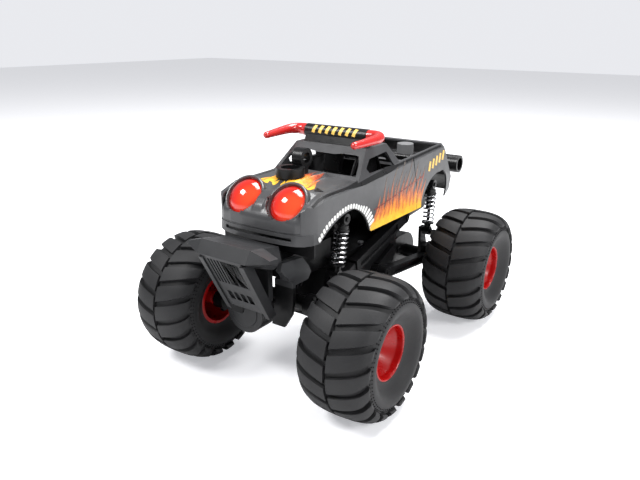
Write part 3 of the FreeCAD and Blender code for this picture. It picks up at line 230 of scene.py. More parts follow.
def flame(name, axis, low, high, stops):
    """Printed flame: colours run along one axis of the truck, with a soft mottle."""
    n = Nodes(name)
    split = n.new("ShaderNodeSeparateXYZ")
    n.link(n.place, split.inputs["Vector"])
    share = n.remap(split.outputs[axis], 0.0, 1.0, low * MM, high * MM)
    wobble = n.noise(110.0, 3.0)
    add = n.new("ShaderNodeMath", operation="ADD")
    n.link(share, add.inputs[0])
    n.link(n.remap(wobble, -0.14, 0.14, 0.3, 0.7), add.inputs[1])
    colour = n.ramp(add.outputs["Value"], stops)
    mottle = n.ramp(n.noise(700.0), [(0.35, (0.2, 0.05, 0.02)), (0.7, (1.0, 0.8, 0.3))])
    n.link(n.mix(0.12, colour, mottle), n.shader.inputs["Base Color"])
    n.link(n.remap(n.noise(300.0), 0.32, 0.46), n.shader.inputs["Roughness"])
    n.bump(n.noise(GRAIN_SCALE, 2.0), 0.08, 0.0002)
    return n.material


BODY_GREY = (0.050, 0.0505, 0.053)
DARK = (0.0045, 0.0045, 0.005)
# GUARD_TOP_HIGHLIGHT is a painted highlight: the colour given to the nose guards' top faces, which look
# lighter because light falls on them.
GUARD_TOP_HIGHLIGHT = (0.032, 0.033, 0.035)
VALANCE_EDGE_Z, GUARD_EDGE_Z = 121.9, 90.2
MATERIALS = {
    "tyre": rubber("tyre_rubber", (0.0135, 0.0135, 0.0145)),
    "rim_red": plastic("rim_gloss_red", (0.36, 0.003, 0.003), 0.3, 0.12, vary=0.12, bump=0.05, sheen=0.35),
    "nut_steel": plastic("nut_steel", (0.5, 0.5, 0.52), 0.32, 0, 1.0, stretch=(1, 1, 12)),
    "black_plastic": plastic("chassis_black", (0.0045, 0.0045, 0.005), 0.36, sheen=0.22),
    "frame_grey": plastic("frame_grey", (0.023, 0.0235, 0.025), 0.4, sheen=0.35),
    "body_dark": plastic("body_satin_grey", BODY_GREY, 0.36, 0.15, bump=0.06),
    "shock_plastic": plastic("shock_black", (0.007, 0.007, 0.0075), 0.3, sheen=0.4),
    "spring_steel": plastic("spring_chrome", (0.8, 0.8, 0.82), 0.16, 0, 1.0, vary=0.06, bump=0.04),
    "pin_steel": plastic("pin_steel", (0.52, 0.52, 0.54), 0.3, 0, 1.0, stretch=(12, 1, 1)),
    "gear_nylon": plastic("gear_nylon", (0.74, 0.72, 0.65), 0.5),
    "brass_bush": plastic("brass", (0.60, 0.42, 0.16), 0.34, 0, 1.0),
    "motor_can": plastic("motor_can", (0.58, 0.58, 0.6), 0.34, 0, 1.0, stretch=(1, 10, 10)),
    "board_green": plastic("board_green", (0.02, 0.16, 0.06), 0.4, 0.2),
    "battery_wrap": plastic("battery_wrap", (0.02, 0.05, 0.16), 0.28, 0.3),
    "lens_red": lens("lamp_red"),
    "bar_red": plastic("bar_gloss_red", (0.50, 0.016, 0.014), 0.24, 0.5, vary=0.12, bump=0.05),
    "cab_black": plastic("cab_black", (0.005, 0.005, 0.0055), 0.32, sheen=0.35),
    "tank_grey": plastic("tank_grey", (0.17, 0.172, 0.176), 0.42),
}
SLOT_OF = {part["node"]: part["material_slot"] for part in frame["record"]["subparts"]}


# ---------------------------------------------------------------- mesh helpers
def smooth_path(points, steps):
    """Catmull-Rom curve through the points."""
    p = [np.array(q, float) for q in points]
    p = [2 * p[0] - p[1]] + p + [2 * p[-1] - p[-2]]
    out = []
    for a, b, c, d in zip(p, p[1:], p[2:], p[3:]):
        for t in np.linspace(0, 1, steps, endpoint=False):
            out.append(0.5 * (2 * b + (c - a) * t + (2 * a - 5 * b + 4 * c - d) * t * t
                              + (3 * b - a - 3 * c + d) * t ** 3))
    out.append(p[-2])
    return out


SHARP_ANGLE = 32.0                         # degrees between faces from which an edge stays sharp


class Builder:
    """Collects closed shapes in millimetres and makes one piece of them."""

    def __init__(self):
        self.verts, self.faces, self.kinds = [], [], []

    def add(self, verts, faces, kind=0):
        """Takes in vertices and faces; kind is the number of their material."""
        start = len(self.verts)
        self.verts += [tuple(float(c) for c in v) for v in verts]
        self.faces += [tuple(start + i for i in face) for face in faces]
        self.kinds += [kind] * len(faces)

    def grid(self, rows, closed_u=False, closed_v=False, caps=False, kind=0):
        """Quads between rows of points; caps close the first and last row."""
        count, wide = len(rows), len(rows[0])
        faces = []
        for i in range(count if closed_u else count - 1):
            for j in range(wide if closed_v else wide - 1):
                a, b = i, (i + 1) % count
                c, d = j, (j + 1) % wide
                faces.append((a * wide + c, a * wide + d, b * wide + d, b * wide + c))
        if caps:
            faces.append(tuple(range(wide)))
            faces.append(tuple((count - 1) * wide + j for j in reversed(range(wide))))
        self.add([p for row in rows for p in row], faces, kind)

    def lathe(self, profile, segments, origin, axis, across, kind=0):
        """Closed (along, radius) profile turned about an axis."""
        axis, across = Vector(axis).normalized(), Vector(across).normalized()
        other = axis.cross(across)
        rows = []
        for k in range(segments):
            a = 2 * math.pi * k / segments
            out = across * math.cos(a) + other * math.sin(a)
            rows.append([Vector(origin) + axis * along + out * radius for along, radius in profile])
        self.grid(rows, True, True, kind=kind)

    def tube(self, path, radii, sides=20, kind=0):
        """Round bar along a path with its own radius at each point, capped at both ends."""
        path = [Vector(p) for p in path]
        rows, up = [], Vector((0, 0, 1))
        for i, p in enumerate(path):
            ahead = (path[min(i + 1, len(path) - 1)] - path[max(i - 1, 0)]).normalized()
            side = ahead.cross(up).normalized()
            lift = side.cross(ahead)
            rows.append([p + (side * math.cos(a) + lift * math.sin(a)) * radii[i]
                         for a in (2 * math.pi * k / sides for k in range(sides))])
        self.grid(rows, False, True, True, kind)

    def ribbon(self, surface, path, halves, lift, kind=0, across=4, sunk=0.25):
        """Thin closed band that lies on a surface along a (u, v) path."""
        path = [np.array(p, float) for p in path]
        rows = []
        for i, p in enumerate(path):
            ahead = path[min(i + 1, len(path) - 1)] - path[max(i - 1, 0)]
            ahead /= max(np.linalg.norm(ahead), 1e-9)
            normal = np.array([-ahead[1], ahead[0]])
            spots = [p + normal * halves[i] * s for s in np.linspace(-1, 1, across + 1)]
            rows.append([surface(*q, lift) for q in spots] + [surface(*q, -sunk) for q in reversed(spots)])
        self.grid(rows, False, True, True, kind)

    def piece(self, name, body, materials, slot, replaces=(), angle=SHARP_ANGLE, bevel=0.0, matrix=None):
        """Makes the object, rides it on its body and hides the CAD nodes it stands for."""
        mesh = bpy.data.meshes.new(name)
        mesh.from_pydata([(x * MM, y * MM, z * MM) for x, y, z in self.verts], [], self.faces)
        for material in materials:
            mesh.materials.append(material)
        mesh.polygons.foreach_set("material_index", self.kinds)
        work = bmesh.new()
        work.from_mesh(mesh)
        bmesh.ops.remove_doubles(work, verts=work.verts, dist=1e-7)
        bmesh.ops.recalc_face_normals(work, faces=work.faces)
        for face in work.faces:
            face.smooth = True
        work.to_mesh(mesh)
        work.free()
        mesh.set_sharp_from_angle(angle=math.radians(angle))
        obj = bpy.data.objects.new(name, mesh)
        bpy.context.scene.collection.objects.link(obj)
        if matrix is not None:
            obj.matrix_world = matrix
        if bevel:
            soften(obj, bevel, False)
        if body:
            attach(obj, body)
        if replaces:
            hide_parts(*replaces)
        return obj


FLAT_ANGLE = 1.0
WELD_DISTANCE = 2e-6


def soften(obj, width, weld=True):
    """Rounded edges without touching the mesh itself."""
    if weld:
        join = obj.modifiers.new("join", "WELD")
        join.merge_threshold = WELD_DISTANCE
        flat = obj.modifiers.new("flat", "DECIMATE")
        flat.decimate_type = "DISSOLVE"
        flat.angle_limit = math.radians(FLAT_ANGLE)
    edge = obj.modifiers.new("edge", "BEVEL")
    edge.width = width * MM
    edge.segments = 2
    edge.limit_method = "ANGLE"
    edge.angle_limit = math.radians(SHARP_ANGLE)
    edge.use_clamp_overlap = True
    edge.miter_outer = "MITER_ARC"
    normal = obj.modifiers.new("normal", "WEIGHTED_NORMAL")
    normal.weight = 60


# ---------------------------------------------------------------- wheels
CARCASS = [(0, 49.5), (11.4, 49.1), (18.4, 47.6), (22.8, 45.0), (25.4, 42.0), (27.0, 39.6), (28.0, 37.6),
           (28.4, 35.4), (28.1, 33.2), (26.9, 30.6), (25.2, 28.2), (23.6, 26.0), (22.3, 23.8), (21.6, 22.0),
           (21.3, 20.7), (20.6, 20.3)]
CAVITY = [(19.6, 21.0), (20.0, 24.4), (22.2, 28.6), (24.0, 33.0), (24.0, 38.2), (21.4, 42.4), (15.6, 44.9),
          (7.0, 46.2)]
LUG_TOP = [(1.0, 52.5), (10.5, 52.1), (18.2, 50.8), (23.8, 48.4), (26.8, 45.6), (28.5, 43.0), (28.3, 41.4)]
LUG_FOOT = [(0.5, 48.2), (10.5, 47.9), (17.6, 46.6), (22.0, 44.2), (24.4, 41.8), (25.4, 41.0), (25.6, 40.6)]
LUG_SLANT = 15.5 / TYRE_RADIUS
LUG_SECTION = [(-1.0, -0.05), (-0.985, 0.7), (-0.93, 1.0), (-0.4, 1.0), (0.15, 1.0), (0.7, 1.0), (0.93, 0.97),
               (0.985, 0.7), (1.0, -0.05)]
DIMPLES = 80
DIMPLE_RINGS = ((39.4, 27.35), (37.9, 28.1))
DIMPLE_SECTION = ((0.5, -0.5), (0.46, 0.1), (0.25, 0.2))
DIMPLE_SIDES = 6


def add_dimples(b):
    """Two rings of small dark studs on each shoulder of the tyre."""
    turns = [2 * math.pi * j / DIMPLE_SIDES for j in range(DIMPLE_SIDES)]
    for r0, x0 in DIMPLE_RINGS:
        for k in range(DIMPLES):
            a = 2 * math.pi * k / DIMPLES
            for side in (1, -1):
                stud = []
                for radius, rise in DIMPLE_SECTION:
                    ring = []
                    for t in turns:
                        out, along = r0 + radius * math.sin(t), radius * math.cos(t)
                        ring.append((side * (x0 + rise), out * math.sin(a) + along * math.cos(a),
                                     out * math.cos(a) - along * math.sin(a)))
                    stud.append(ring)
                b.grid(stud, False, True, True, 1)


def tyre_builder(mirror):
    """Balloon tyre about X: dished carcass, staggered chevron slabs and two rings of dimples."""
    b = Builder()
    outer = smooth_path(CARCASS, 4)
    inner = smooth_path(CAVITY, 3)
    profile = ([(-x, r) for x, r in reversed(outer)] + [(x, r) for x, r in outer[1:]]
               + [(x, r) for x, r in inner] + [(-x, r) for x, r in reversed(inner)])
    b.lathe(profile, 160, (0, 0, 0), (1, 0, 0), (0, 0, 1))
    pitch = 2 * math.pi / LUGS
    tops, feet = smooth_path(LUG_TOP, 3), smooth_path(LUG_FOOT, 3)
    last = len(tops) - 1
    for k in range(LUGS):
        for side, offset in ((1, 0.0), (-1, 0.5)):
            rows = []
            for i, (top, foot) in enumerate(zip(tops, feet)):
                share = i / last
                centre = (k + offset) * pitch + LUG_SLANT * (share ** 0.92 - 0.5)
                half = pitch / 2 * (0.78 - 0.24 * share ** 1.4)
                row = []
                for across, height in LUG_SECTION:
                    x, r = np.array(foot) + (np.array(top) - np.array(foot)) * height
                    angle = centre + half * across
                    row.append((side * x, r * math.sin(angle), r * math.cos(angle)))
                rows.append(row)
            b.grid(rows, False, True, True)
    add_dimples(b)
    if mirror:
        b.verts = [(-x, y, z) for x, y, z in b.verts]
    return b


RIM_PROFILE = [(-22.0, 18.6), (-21.6, 21.0), (-20.6, 21.6), (-19.6, 20.9), (-18.0, 20.2), (0.0, 20.0),
               (18.0, 20.2), (19.2, 20.7), (20.4, 20.9), (21.2, 20.6), (21.5, 20.0), (21.3, 19.4),
               (20.4, 18.9), (17.0, 18.5), (15.6, 18.3), (9.6, 13.4), (4.6, 9.4), (3.5, 8.0), (3.4, 2.7),
               (-16.6, 2.7), (-17.0, 5.0), (-16.6, 6.0), (0.4, 6.2), (1.4, 9.4), (6.6, 13.6), (12.6, 18.4),
               (10.0, 18.8), (-21.0, 18.6)]


def wheels():
    """Tyres and dished rims, each built once per side and set at its hub."""
    dimple = plastic("tyre_dimple", (0.003, 0.003, 0.003), 0.7, sheen=0.1)
    for side in (1, -1):
        tread = tyre_builder(side < 0)
        for end, y in (("front", FRONT_Y), ("rear", REAR_Y)):
            name = f"{end}_left" if side > 0 else f"{end}_right"
            body = f"{name}_wheel" if end == "front" else "rear_wheels"
            place = Matrix.Translation(Vector((side * WHEEL_X, y, AXLE_Z)) * MM)
            tread.piece(f"balloon_tyre_{name}", body, [MATERIALS["tyre"], dimple], "tyre", [f"tyre_{name}"],
                        angle=38.0, matrix=place)
            dish = Builder()
            dish.lathe([(side * x, r) for x, r in RIM_PROFILE], 96, (0, 0, 0), (1, 0, 0), (0, 0, 1))
            dish.piece(f"dished_rim_{name}", body, [MATERIALS["rim_red"]], "rim_red", [f"rim_{name}"],
                       bevel=0.35, matrix=place)


# ---------------------------------------------------------------- springs
SPRING_TURNS = 6.5
SPRING_COIL = 5.1
SPRING_WIRE = 0.78
SPRING_STEPS = 200
SEAT_TOP, SEAT_FOOT = 9.6, 8.6


def springs():
    """Coil springs that stretch between the two halves of each shock."""
    for end, (top, foot, x) in SHOCKS.items():
        b = Builder()
        high, low = Vector((0, *top)), Vector((0, *foot))
        down = (low - high).normalized()
        begin = high + down * (SEAT_TOP + SPRING_WIRE)
        length = (low - high).length - SEAT_TOP - SEAT_FOOT - 2 * SPRING_WIRE
        right = Vector((1, 0, 0))
        other = down.cross(right)
        for side in (1, -1):
            path = []
            for k in range(SPRING_STEPS + 1):
                share = k / SPRING_STEPS
                a = 2 * math.pi * SPRING_TURNS * share
                path.append(begin + right * side * x + down * length * share
                            + (right * math.cos(a) + other * math.sin(a)) * SPRING_COIL)
            b.tube(path, [SPRING_WIRE] * len(path), 10)
        coil = b.piece(f"coil_springs_{end}", None, [MATERIALS["spring_steel"]], "spring_steel",
                       [f"{end}_springs"])
        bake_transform(coil)


# ---------------------------------------------------------------- bonnet
HOOD_LINE = [(-120.5, 139.6), (-119.6, 141.6), (-117.6, 144.2), (-112, 149.2), (-104, 153.2), (-95, 155.6),
             (-80, 156.6), (-51, 156.9), (-40, 156.9)]
NOSE_PLAN = [(0, -120.5), (12, -120.2), (24, -119.1), (33, -116.9), (38.4, -113.7)]
NOSE_FOOT_Z = 131.4
NOSE_TOP_Z = 139.0
BONNET_COLUMNS, BONNET_ROWS = 97, 93
BONNET_SKIN = 1.3
BOWL_SECTION = [(-9.0, 16.6), (0.6, 16.8), (1.6, 16.4), (2.1, 15.7), (1.9, 14.9), (1.0, 14.25), (-7.0, 13.6),
                (-7.6, 12.6), (-7.6, 3.0), (-9.0, 3.0)]


def ease(value, low, high):
    """Smooth step from 0 at low to 1 at high."""
    t = min(1.0, max(0.0, (value - low) / (high - low)))
    return t * t * (3 - 2 * t)


def hood_z(x, y):
    """Height of the bonnet's skin over the plan point."""
    bow = (front_edge(x) - front_edge(0)) * (1 - ease(y, -114.0, -92.0))
    z = float(np.interp(y - bow, [p[0] for p in HOOD_LINE], [p[1] for p in HOOD_LINE]))
    z -= 1.2 * (abs(x) / HOOD_X) ** 3
    ridge = (1 - ease(abs(x), 11.0 + 0.05 * (y + 90), 16.0)) * ease(y, -99.0, -84.0)
    nose = (1 - ease(abs(x), 3.4, 5.2)) * ease(y, -119.0, -116.0) * (1 - ease(y, -106.0, -98.0))
    swell = 1.6 * ease(y, -118.0, -104.0) * (1 - ease(y, -96.0, -82.0))
    swell *= 1 - ease(abs(abs(x) - LAMP_X), 6.0, 19.0)
    return z + 3.6 * ridge + 2.2 * nose + swell


def front_edge(x):
    """Plan line of the bonnet's bowed front edge."""
    return float(np.interp(abs(x), [p[0] for p in NOSE_PLAN], [p[1] for p in NOSE_PLAN]))


def lamp_frame(side):
    """Centre of a lamp and the direction it looks in."""
    axis = Vector((0, -math.cos(LAMP_TILT), math.sin(LAMP_TILT)))
    return Vector((side * LAMP_X, LAMP_Y, LAMP_Z)), axis


def bonnet_rows():
    """Grid of points over the bonnet, from the foot of the nose back to the cowl."""
    rows = []
    for j in range(BONNET_ROWS):
        share = j / (BONNET_ROWS - 1)
        row = []
        for i in range(BONNET_COLUMNS):
            x = -HOOD_X + 2 * HOOD_X * i / (BONNET_COLUMNS - 1)
            y = front_edge(x) + share * (COWL_Y - front_edge(x))
            row.append(Vector((x, y, hood_z(x, y))))
        rows.append(row)
    brow = rows[0]
    for share in (0.33, 0.66, 1.0):
        rows.insert(0, [Vector((p.x, p.y - 0.3 * share, p.z + (NOSE_FOOT_Z - p.z) * share)) for p in brow])
    return rows


def bonnet_keeps(quad):
    """False for the quads inside the lamp holes and the blower's hole."""
    middle = sum(quad, Vector()) / 4
    if middle.z < NOSE_TOP_Z:
        return True
    if (middle.xy - Vector((0, BLOWER_Y))).length < BLOWER_HOLE:
        return False
    for side in (1, -1):
        centre, axis = lamp_frame(side)
        away = middle - centre
        if (away - axis * away.dot(axis)).length < LAMP_RADIUS + 1.4 and away.dot(axis) > -LAMP_RADIUS:
            return False
    return True


def bonnet():
    """Bonnet skin with its nose, ridge and two lamp bowls."""
    rows = bonnet_rows()
    flat = [p for row in rows for p in row]
    wide = BONNET_COLUMNS
    faces = []
    for j in range(len(rows) - 1):
        for i in range(wide - 1):
            quad = (j * wide + i, j * wide + i + 1, (j + 1) * wide + i + 1, (j + 1) * wide + i)
            if bonnet_keeps([flat[k] for k in quad]):
                faces.append(quad)
    used = sorted({k for face in faces for k in face})
    at = {k: n for n, k in enumerate(used)}
    top = [flat[k] for k in used]
    low = [p + Vector((0, BONNET_SKIN, -BONNET_SKIN)) for p in top]
    n = len(top)
    faces = [tuple(at[k] for k in face) for face in faces]
    edges = {}
    for face in faces:
        for a, c in zip(face, face[1:] + face[:1]):
            edges[frozenset((a, c))] = edges.get(frozenset((a, c)), []) + [(a, c)]
    walls = [(a, c, c + n, a + n) for uses in edges.values() if len(uses) == 1 for a, c in uses]
    b = Builder()
    b.add(top + low, faces + [tuple(k + n for k in reversed(face)) for face in faces] + walls)
    for side in (1, -1):
        centre, axis = lamp_frame(side)
        b.lathe(BOWL_SECTION, 72, centre, axis, (1, 0, 0))
    b.piece("bonnet_panel", "chassis", [MATERIALS["body_dark"]], "body_dark", ["bonnet"], angle=40.0)


# ---------------------------------------------------------------- roof bar ends
def bar_ends():
    """Plain swept tube ends of the roof bar, tapering to round tips."""
    b = Builder()
    for side in (1, -1):
        path = smooth_path([(29.6, BAR_Y, BAR_Z), (35, BAR_Y + 0.2, BAR_Z + 0.4),
                            (40.4, BAR_Y - 2.6, BAR_Z + 0.7), (43.0, BAR_Y - 10, BAR_Z + 0.6),
                            (42.6, BAR_Y - 25, BAR_Z + 0.1), (41.2, BAR_Y - 41, BAR_Z - 0.3)], 7)
        path = [(side * x, y, z) for x, y, z in path]
        last = len(path) - 1
        radii = [5.2 - 2.5 * (i / last) ** 1.3 for i in range(last + 1)]
        tip, before = Vector(path[-1]), Vector(path[-2])
        ahead = (tip - before).normalized()
        end = radii[-1]
        for t in (0.35, 0.65, 0.87, 0.98):
            path.append(tuple(tip + ahead * end * t))
            radii.append(end * math.sqrt(1 - t * t))
        b.tube(path, radii, 28)
    b.piece("roof_bar_tips", "chassis", [MATERIALS["bar_red"]], "bar_red", ["roof_bar_ends"], angle=50)


# ---------------------------------------------------------------- printed decoration
def side_surface(side):
    """The flat body side as a surface of (y, z)."""
    return lambda y, z, lift: Vector((side * (SIDE_X + lift), y, z))


BELT_LINE = [(-108.0, 150.9), (-95, 155.0), (-70, 155.4), (-46, 155.6), (-20, 157.0), (6, 158.4), (22, 159.2),
             (60, 161.0), (104, 162.8)]
SHOULDER = 3.4


def shoulder_surface(side):
    """The 45 degree face between the side and the top; z is taken at its upper edge."""
    def at(y, z, lift):
        below = float(np.interp(y, [p[0] for p in BELT_LINE], [p[1] for p in BELT_LINE])) - z
        x = SIDE_X - SHOULDER / 2 + below + lift * 0.7
        return Vector((side * x, y, z - SHOULDER / 2 + 0.5 + lift * 0.7))
    return at


def hood_surface(x, y, lift):
    """The bonnet's skin as a surface of (x, y)."""
    return Vector((x, y, hood_z(x, y) + lift))


def bar_surface(x, arc, lift):
    """The roof bar's front as a surface of x and the arc length upwards."""
    angle = arc / BAR_RADIUS
    radius = BAR_RADIUS + lift
    return Vector((x, BAR_Y - radius * math.cos(angle), BAR_Z + radius * math.sin(angle)))


def tongue(b, surface, root, tip, half, bend, lift, kind):
    """One flame: wide at the root, bent like an S and pointed at the tip."""
    root, tip = np.array(root, float), np.array(tip, float)
    run = tip - root
    normal = np.array([-run[1], run[0]]) / np.linalg.norm(run)
    path, halves = [], []
    for t in np.linspace(0, 1, 15):
        path.append(root + run * t + normal * bend * math.sin(t * math.pi * 1.6))
        halves.append(half * (1 - t) ** 0.8 * (1 + 0.35 * math.sin(t * math.pi)) + 0.05)
    b.ribbon(surface, path, halves, lift, kind)


FLAME_STOPS = [(0.0, (1.0, 0.62, 0.03)), (0.35, (0.95, 0.36, 0.02)), (0.62, (0.62, 0.12, 0.03)),
               (0.85, (0.26, 0.085, 0.07)), (1.0, (0.13, 0.09, 0.09))]


PRINT_SUNK = 0.25
SILL_LINE = [(-34.0, 118.4), (-29.0, 112.3), (64.5, 110.7), (67.5, 114.5)]
BACK_TONGUES = [(-27, 4.5, 22, 7), (-19, 4.0, 33, 8), (-12, 3.6, 24, 9), (-4, 4.6, 38, 9), (3, 3.4, 27, 10),
                (9, 4.4, 41, 9), (17, 3.8, 30, 10), (24, 4.8, 40, 9), (31, 3.4, 27, 10), (38, 4.6, 36, 9),
                (46, 3.8, 28, 9), (53, 4.0, 31, 8), (60, 3.6, 20, 7)]
FRONT_TONGUES = [(-29, 3.4, 10, 3), (-22, 3.6, 17, 4), (-15, 3.0, 12, 4), (-8, 3.8, 22, 5), (-1, 3.2, 14, 5),
                 (6, 4.0, 25, 5), (13, 3.0, 15, 6), (20, 4.0, 26, 5), (28, 3.2, 16, 6), (35, 3.8, 24, 5),
                 (42, 3.2, 15, 5), (49, 3.6, 20, 5), (57, 3.4, 14, 4), (62, 2.4, 8, 3)]


def flame_sheet(b, surface, tongues, lean, lift, kind, stations=230, levels=9):
    """Printed flame: one sheet whose upper edge rises into leaning, wavy tongues."""
    rows = []
    for s in np.linspace(-30.5, 63.5, stations):
        foot = float(np.interp(s, [p[0] for p in SILL_LINE], [p[1] for p in SILL_LINE]))
        height = max(low + tall * max(0.0, 1 - abs(s - at) / wide) ** 1.5 for at, wide, tall, low in tongues)
        height *= 0.25 + 0.75 * ease(s, -31.0, -26.0) * (1 - ease(s, 60.0, 64.0))
        spots = []
        for level in np.linspace(0, 1, levels):
            up = height * level
            wave = 1.5 * math.sin(up / 6.5 + 0.06 * s) - 1.5 * math.sin(0.06 * s)
            spots.append((min(s + lean * up + wave, 76.0), foot + up))
        rows.append([surface(*q, lift) for q in spots] + [surface(*q, -PRINT_SUNK) for q in reversed(spots)])
    b.grid(rows, False, True, True, kind)


ARCH_LINE = [(-101.5, 121.5), (-91, 129.6), (-76, 135.2), (-62, 137.2), (-51, 134.6), (-40.5, 128),
             (-34, 119.5), (-30.5, 112.6)]
DASHES = 24
DASH_HALVES = [1.1, 1.35, 1.42, 1.42, 1.42, 1.3, 0.8]
QUARTER_STRIPES = 5
PINSTRIPE_DASHES = 9
DOOR_LINE = [(42.6, 160.6), (47.4, 147.0), (52.0, 135.0), (54.0, 122.0), (54.6, 111.0)]


def arch_dashes(b, surface):
    """Plain white dashes along the front wheel arch, longer towards its rear foot."""
    arch = np.array(smooth_path(ARCH_LINE, 6))
    run = np.concatenate([[0], np.cumsum(np.linalg.norm(np.diff(arch, axis=0), axis=1))])
    for k in range(DASHES):
        s = run[-1] * (k + 0.5) / DASHES
        here = np.array([np.interp(s, run, arch[:, 0]), np.interp(s, run, arch[:, 1])])
        then = np.array([np.interp(s + 0.5, run, arch[:, 0]), np.interp(s + 0.5, run, arch[:, 1])])
        ahead = (then - here) / np.linalg.norm(then - here)
        out = np.array([-ahead[1], ahead[0]])
        depth = 4.6 + 4.6 * ease(k, 15, 20)
        lean = ahead * 0.8
        path = [here + out * t + lean * (t / depth) for t in np.linspace(0.9, depth, len(DASH_HALVES))]
        b.ribbon(surface, path, DASH_HALVES, 0.15, 0)


def side_decoration():
    """Own flame print on the doors, white arch dashes, plain stripes, a door panel line and a painted shade
    strip along the shoulder, on both sides.
    """
    faded = flame("flame_faded", "Z", 113, 152, [(0.0, (0.80, 0.26, 0.02)), (0.35, (0.52, 0.10, 0.02)),
                                                (0.65, (0.24, 0.05, 0.03)), (0.85, (0.11, 0.055, 0.055)),
                                                (1.0, (0.06, 0.052, 0.055))])
    bright = flame("flame_bright", "Z", 110, 141, FLAME_STOPS)
    white = plastic("print_white", (0.78, 0.78, 0.76), 0.4, vary=0.05, bump=0.05)
    amber = plastic("print_amber", (0.85, 0.52, 0.10), 0.4, vary=0.1, bump=0.05)
    crimson = plastic("print_crimson", (0.16, 0.012, 0.012), 0.4, bump=0.05)
    black = MATERIALS["cab_black"]
    for side, name in ((1, "left"), (-1, "right")):
        surface = side_surface(side)
        b = Builder()
        flame_sheet(b, surface, BACK_TONGUES, 0.36, 0.10, 0)
        flame_sheet(b, surface, FRONT_TONGUES, 0.30, 0.17, 1)
        b.piece(f"flame_print_{name}", "chassis", [faded, bright], "body_dark")

        b = Builder()
        arch_dashes(b, surface)
        b.piece(f"arch_dashes_{name}", "chassis", [white], "body_dark")

        b = Builder()
        for k in range(QUARTER_STRIPES):
            y, z = 77.0 + 7.2 * k, 146.4 + 1.5 * k
            b.ribbon(surface, [(y, z - 4.4), (y + 0.9, z), (y + 1.8, z + 4.4)], [1.9, 1.9, 1.9], 0.12, 0)
        b.piece(f"quarter_stripes_{name}", "chassis", [amber], "body_dark")

        b = Builder()
        for k in range(PINSTRIPE_DASHES):
            y, z = -24.0 + 10.2 * k, 128.6 + 1.3 * k
            b.ribbon(surface, [(y, z), (y + 7.4, z + 0.95)], [0.55, 0.55], 0.2, 0)
        b.piece(f"side_pinstripe_{name}", "chassis", [crimson], "body_dark")

        # Painted shade: a black strip on the shoulder chamfer stands in for the chamfer's shade, widest along
        # the cab's foot where the shade is deepest.
        b = Builder()
        belt = smooth_path(BELT_LINE, 4)
        halves = [0.7 + 1.4 * ease(y, -66.0, -40.0) * (1 - ease(y, -2.0, 18.0)) for y, z in belt]
        b.ribbon(shoulder_surface(side), belt, halves, 0.12, 0)
        b.piece(f"shoulder_shade_{name}", "chassis", [black], "cab_black")

        b = Builder()
        b.ribbon(surface, DOOR_LINE, [0.28] * len(DOOR_LINE), 0.22, 0)
        b.piece(f"door_line_{name}", "chassis", [black], "cab_black")


HOOD_TONGUES = [(15.5, -97, 12.4, -52.5, 2.9, 1.2), (11.5, -95, 8.6, -54, 2.8, -1.0),
                (20.5, -95, 15.4, -62, 2.6, 0.9), (7.5, -92, 5.4, -58, 2.2, 0.8),
                (25.0, -92, 20.0, -71, 2.1, -0.8), (4.6, -94, 2.0, -88, 1.6, 0.3)]
VENT_LINE = [(27.2, -82.0), (30.0, -85.0), (32.8, -88.0)]
BAR_STRIPES = 7
STRIPE_PATH = [(-1.0, -0.6), (-0.35, 1.6), (0.35, 3.8), (1.0, 6.0)]


def hood_decoration():
    """Own flames that run back past the blower, and two small dark vents."""
    fire = flame("flame_hood", "Y", -97, -52, [(0.0, (1.0, 0.62, 0.03)), (0.3, (1.0, 0.45, 0.02)),
                                              (0.55, (0.85, 0.16, 0.015)), (0.8, (0.35, 0.02, 0.01)),
                                              (1.0, (0.12, 0.03, 0.03))])
    b = Builder()
    for side in (1, -1):
        for x, y0, x1, y1, half, bend in HOOD_TONGUES:
            tongue(b, hood_surface, (side * x, y0), (side * x1, y1), half, bend * side, 0.14, 0)
    b.piece("flame_print_bonnet", "chassis", [fire], "body_dark")

    b = Builder()
    for side in (1, -1):
        b.ribbon(hood_surface, [(side * x, y) for x, y in VENT_LINE], [0.25, 1.9, 3.6], 0.25, 0)
    b.piece("bonnet_vents", "chassis", [MATERIALS["cab_black"]], "cab_black")


def bar_decoration():
    """Plain slanted stripes on the roof bar."""
    amber = plastic("bar_print_amber", (0.9, 0.58, 0.12), 0.38, vary=0.1, bump=0.05)
    b = Builder()
    for k in range(BAR_STRIPES):
        x = -19.5 + 6.5 * k
        b.ribbon(bar_surface, [(x + across, arc) for across, arc in STRIPE_PATH], [1.45] * 4, 0.14, 0)
    b.piece("bar_stripes", "chassis", [amber], "cab_black")


# ---------------------------------------------------------------- carried-over CAD nodes
SOFT_EDGES = {
    "body_shell": 0.7, "front_valance": 0.5, "front_bumper": 0.45, "nose_guards": 0.45, "roof_bar": 0.5,
    "engine_blower": 0.5, "cab_interior": 0.4, "bed_liner": 0.3, "bed_hoop": 0.2, "mist_tank": 0.4,
    "filler_cap": 0.7, "rear_tube": 0.5, "chassis_tub": 0.5, "chassis_cover": 0.5, "shock_towers": 0.4,
    "front_axle_case": 0.4, "steering_pod_cover": 0.5, "front_swing_arms": 0.5, "rear_swing_arms": 0.5,
    "knuckle_left": 0.35, "knuckle_right": 0.35, "tie_rod": 0.3, "rear_axle_case": 0.5,
    "rear_gearbox_cover": 0.5, "front_shock_tubes": 0.3, "front_shock_rods": 0.3, "rear_shock_tubes": 0.3,
    "rear_shock_rods": 0.3, "battery_door": 0.3, "hub_nut_front_left": 0.3, "hub_nut_front_right": 0.3,
    "hub_nuts_rear": 0.3, "kingpins": 0.2, "drive_motor": 0.3, "cover_screws": 0.2, "power_switch": 0.2,
}


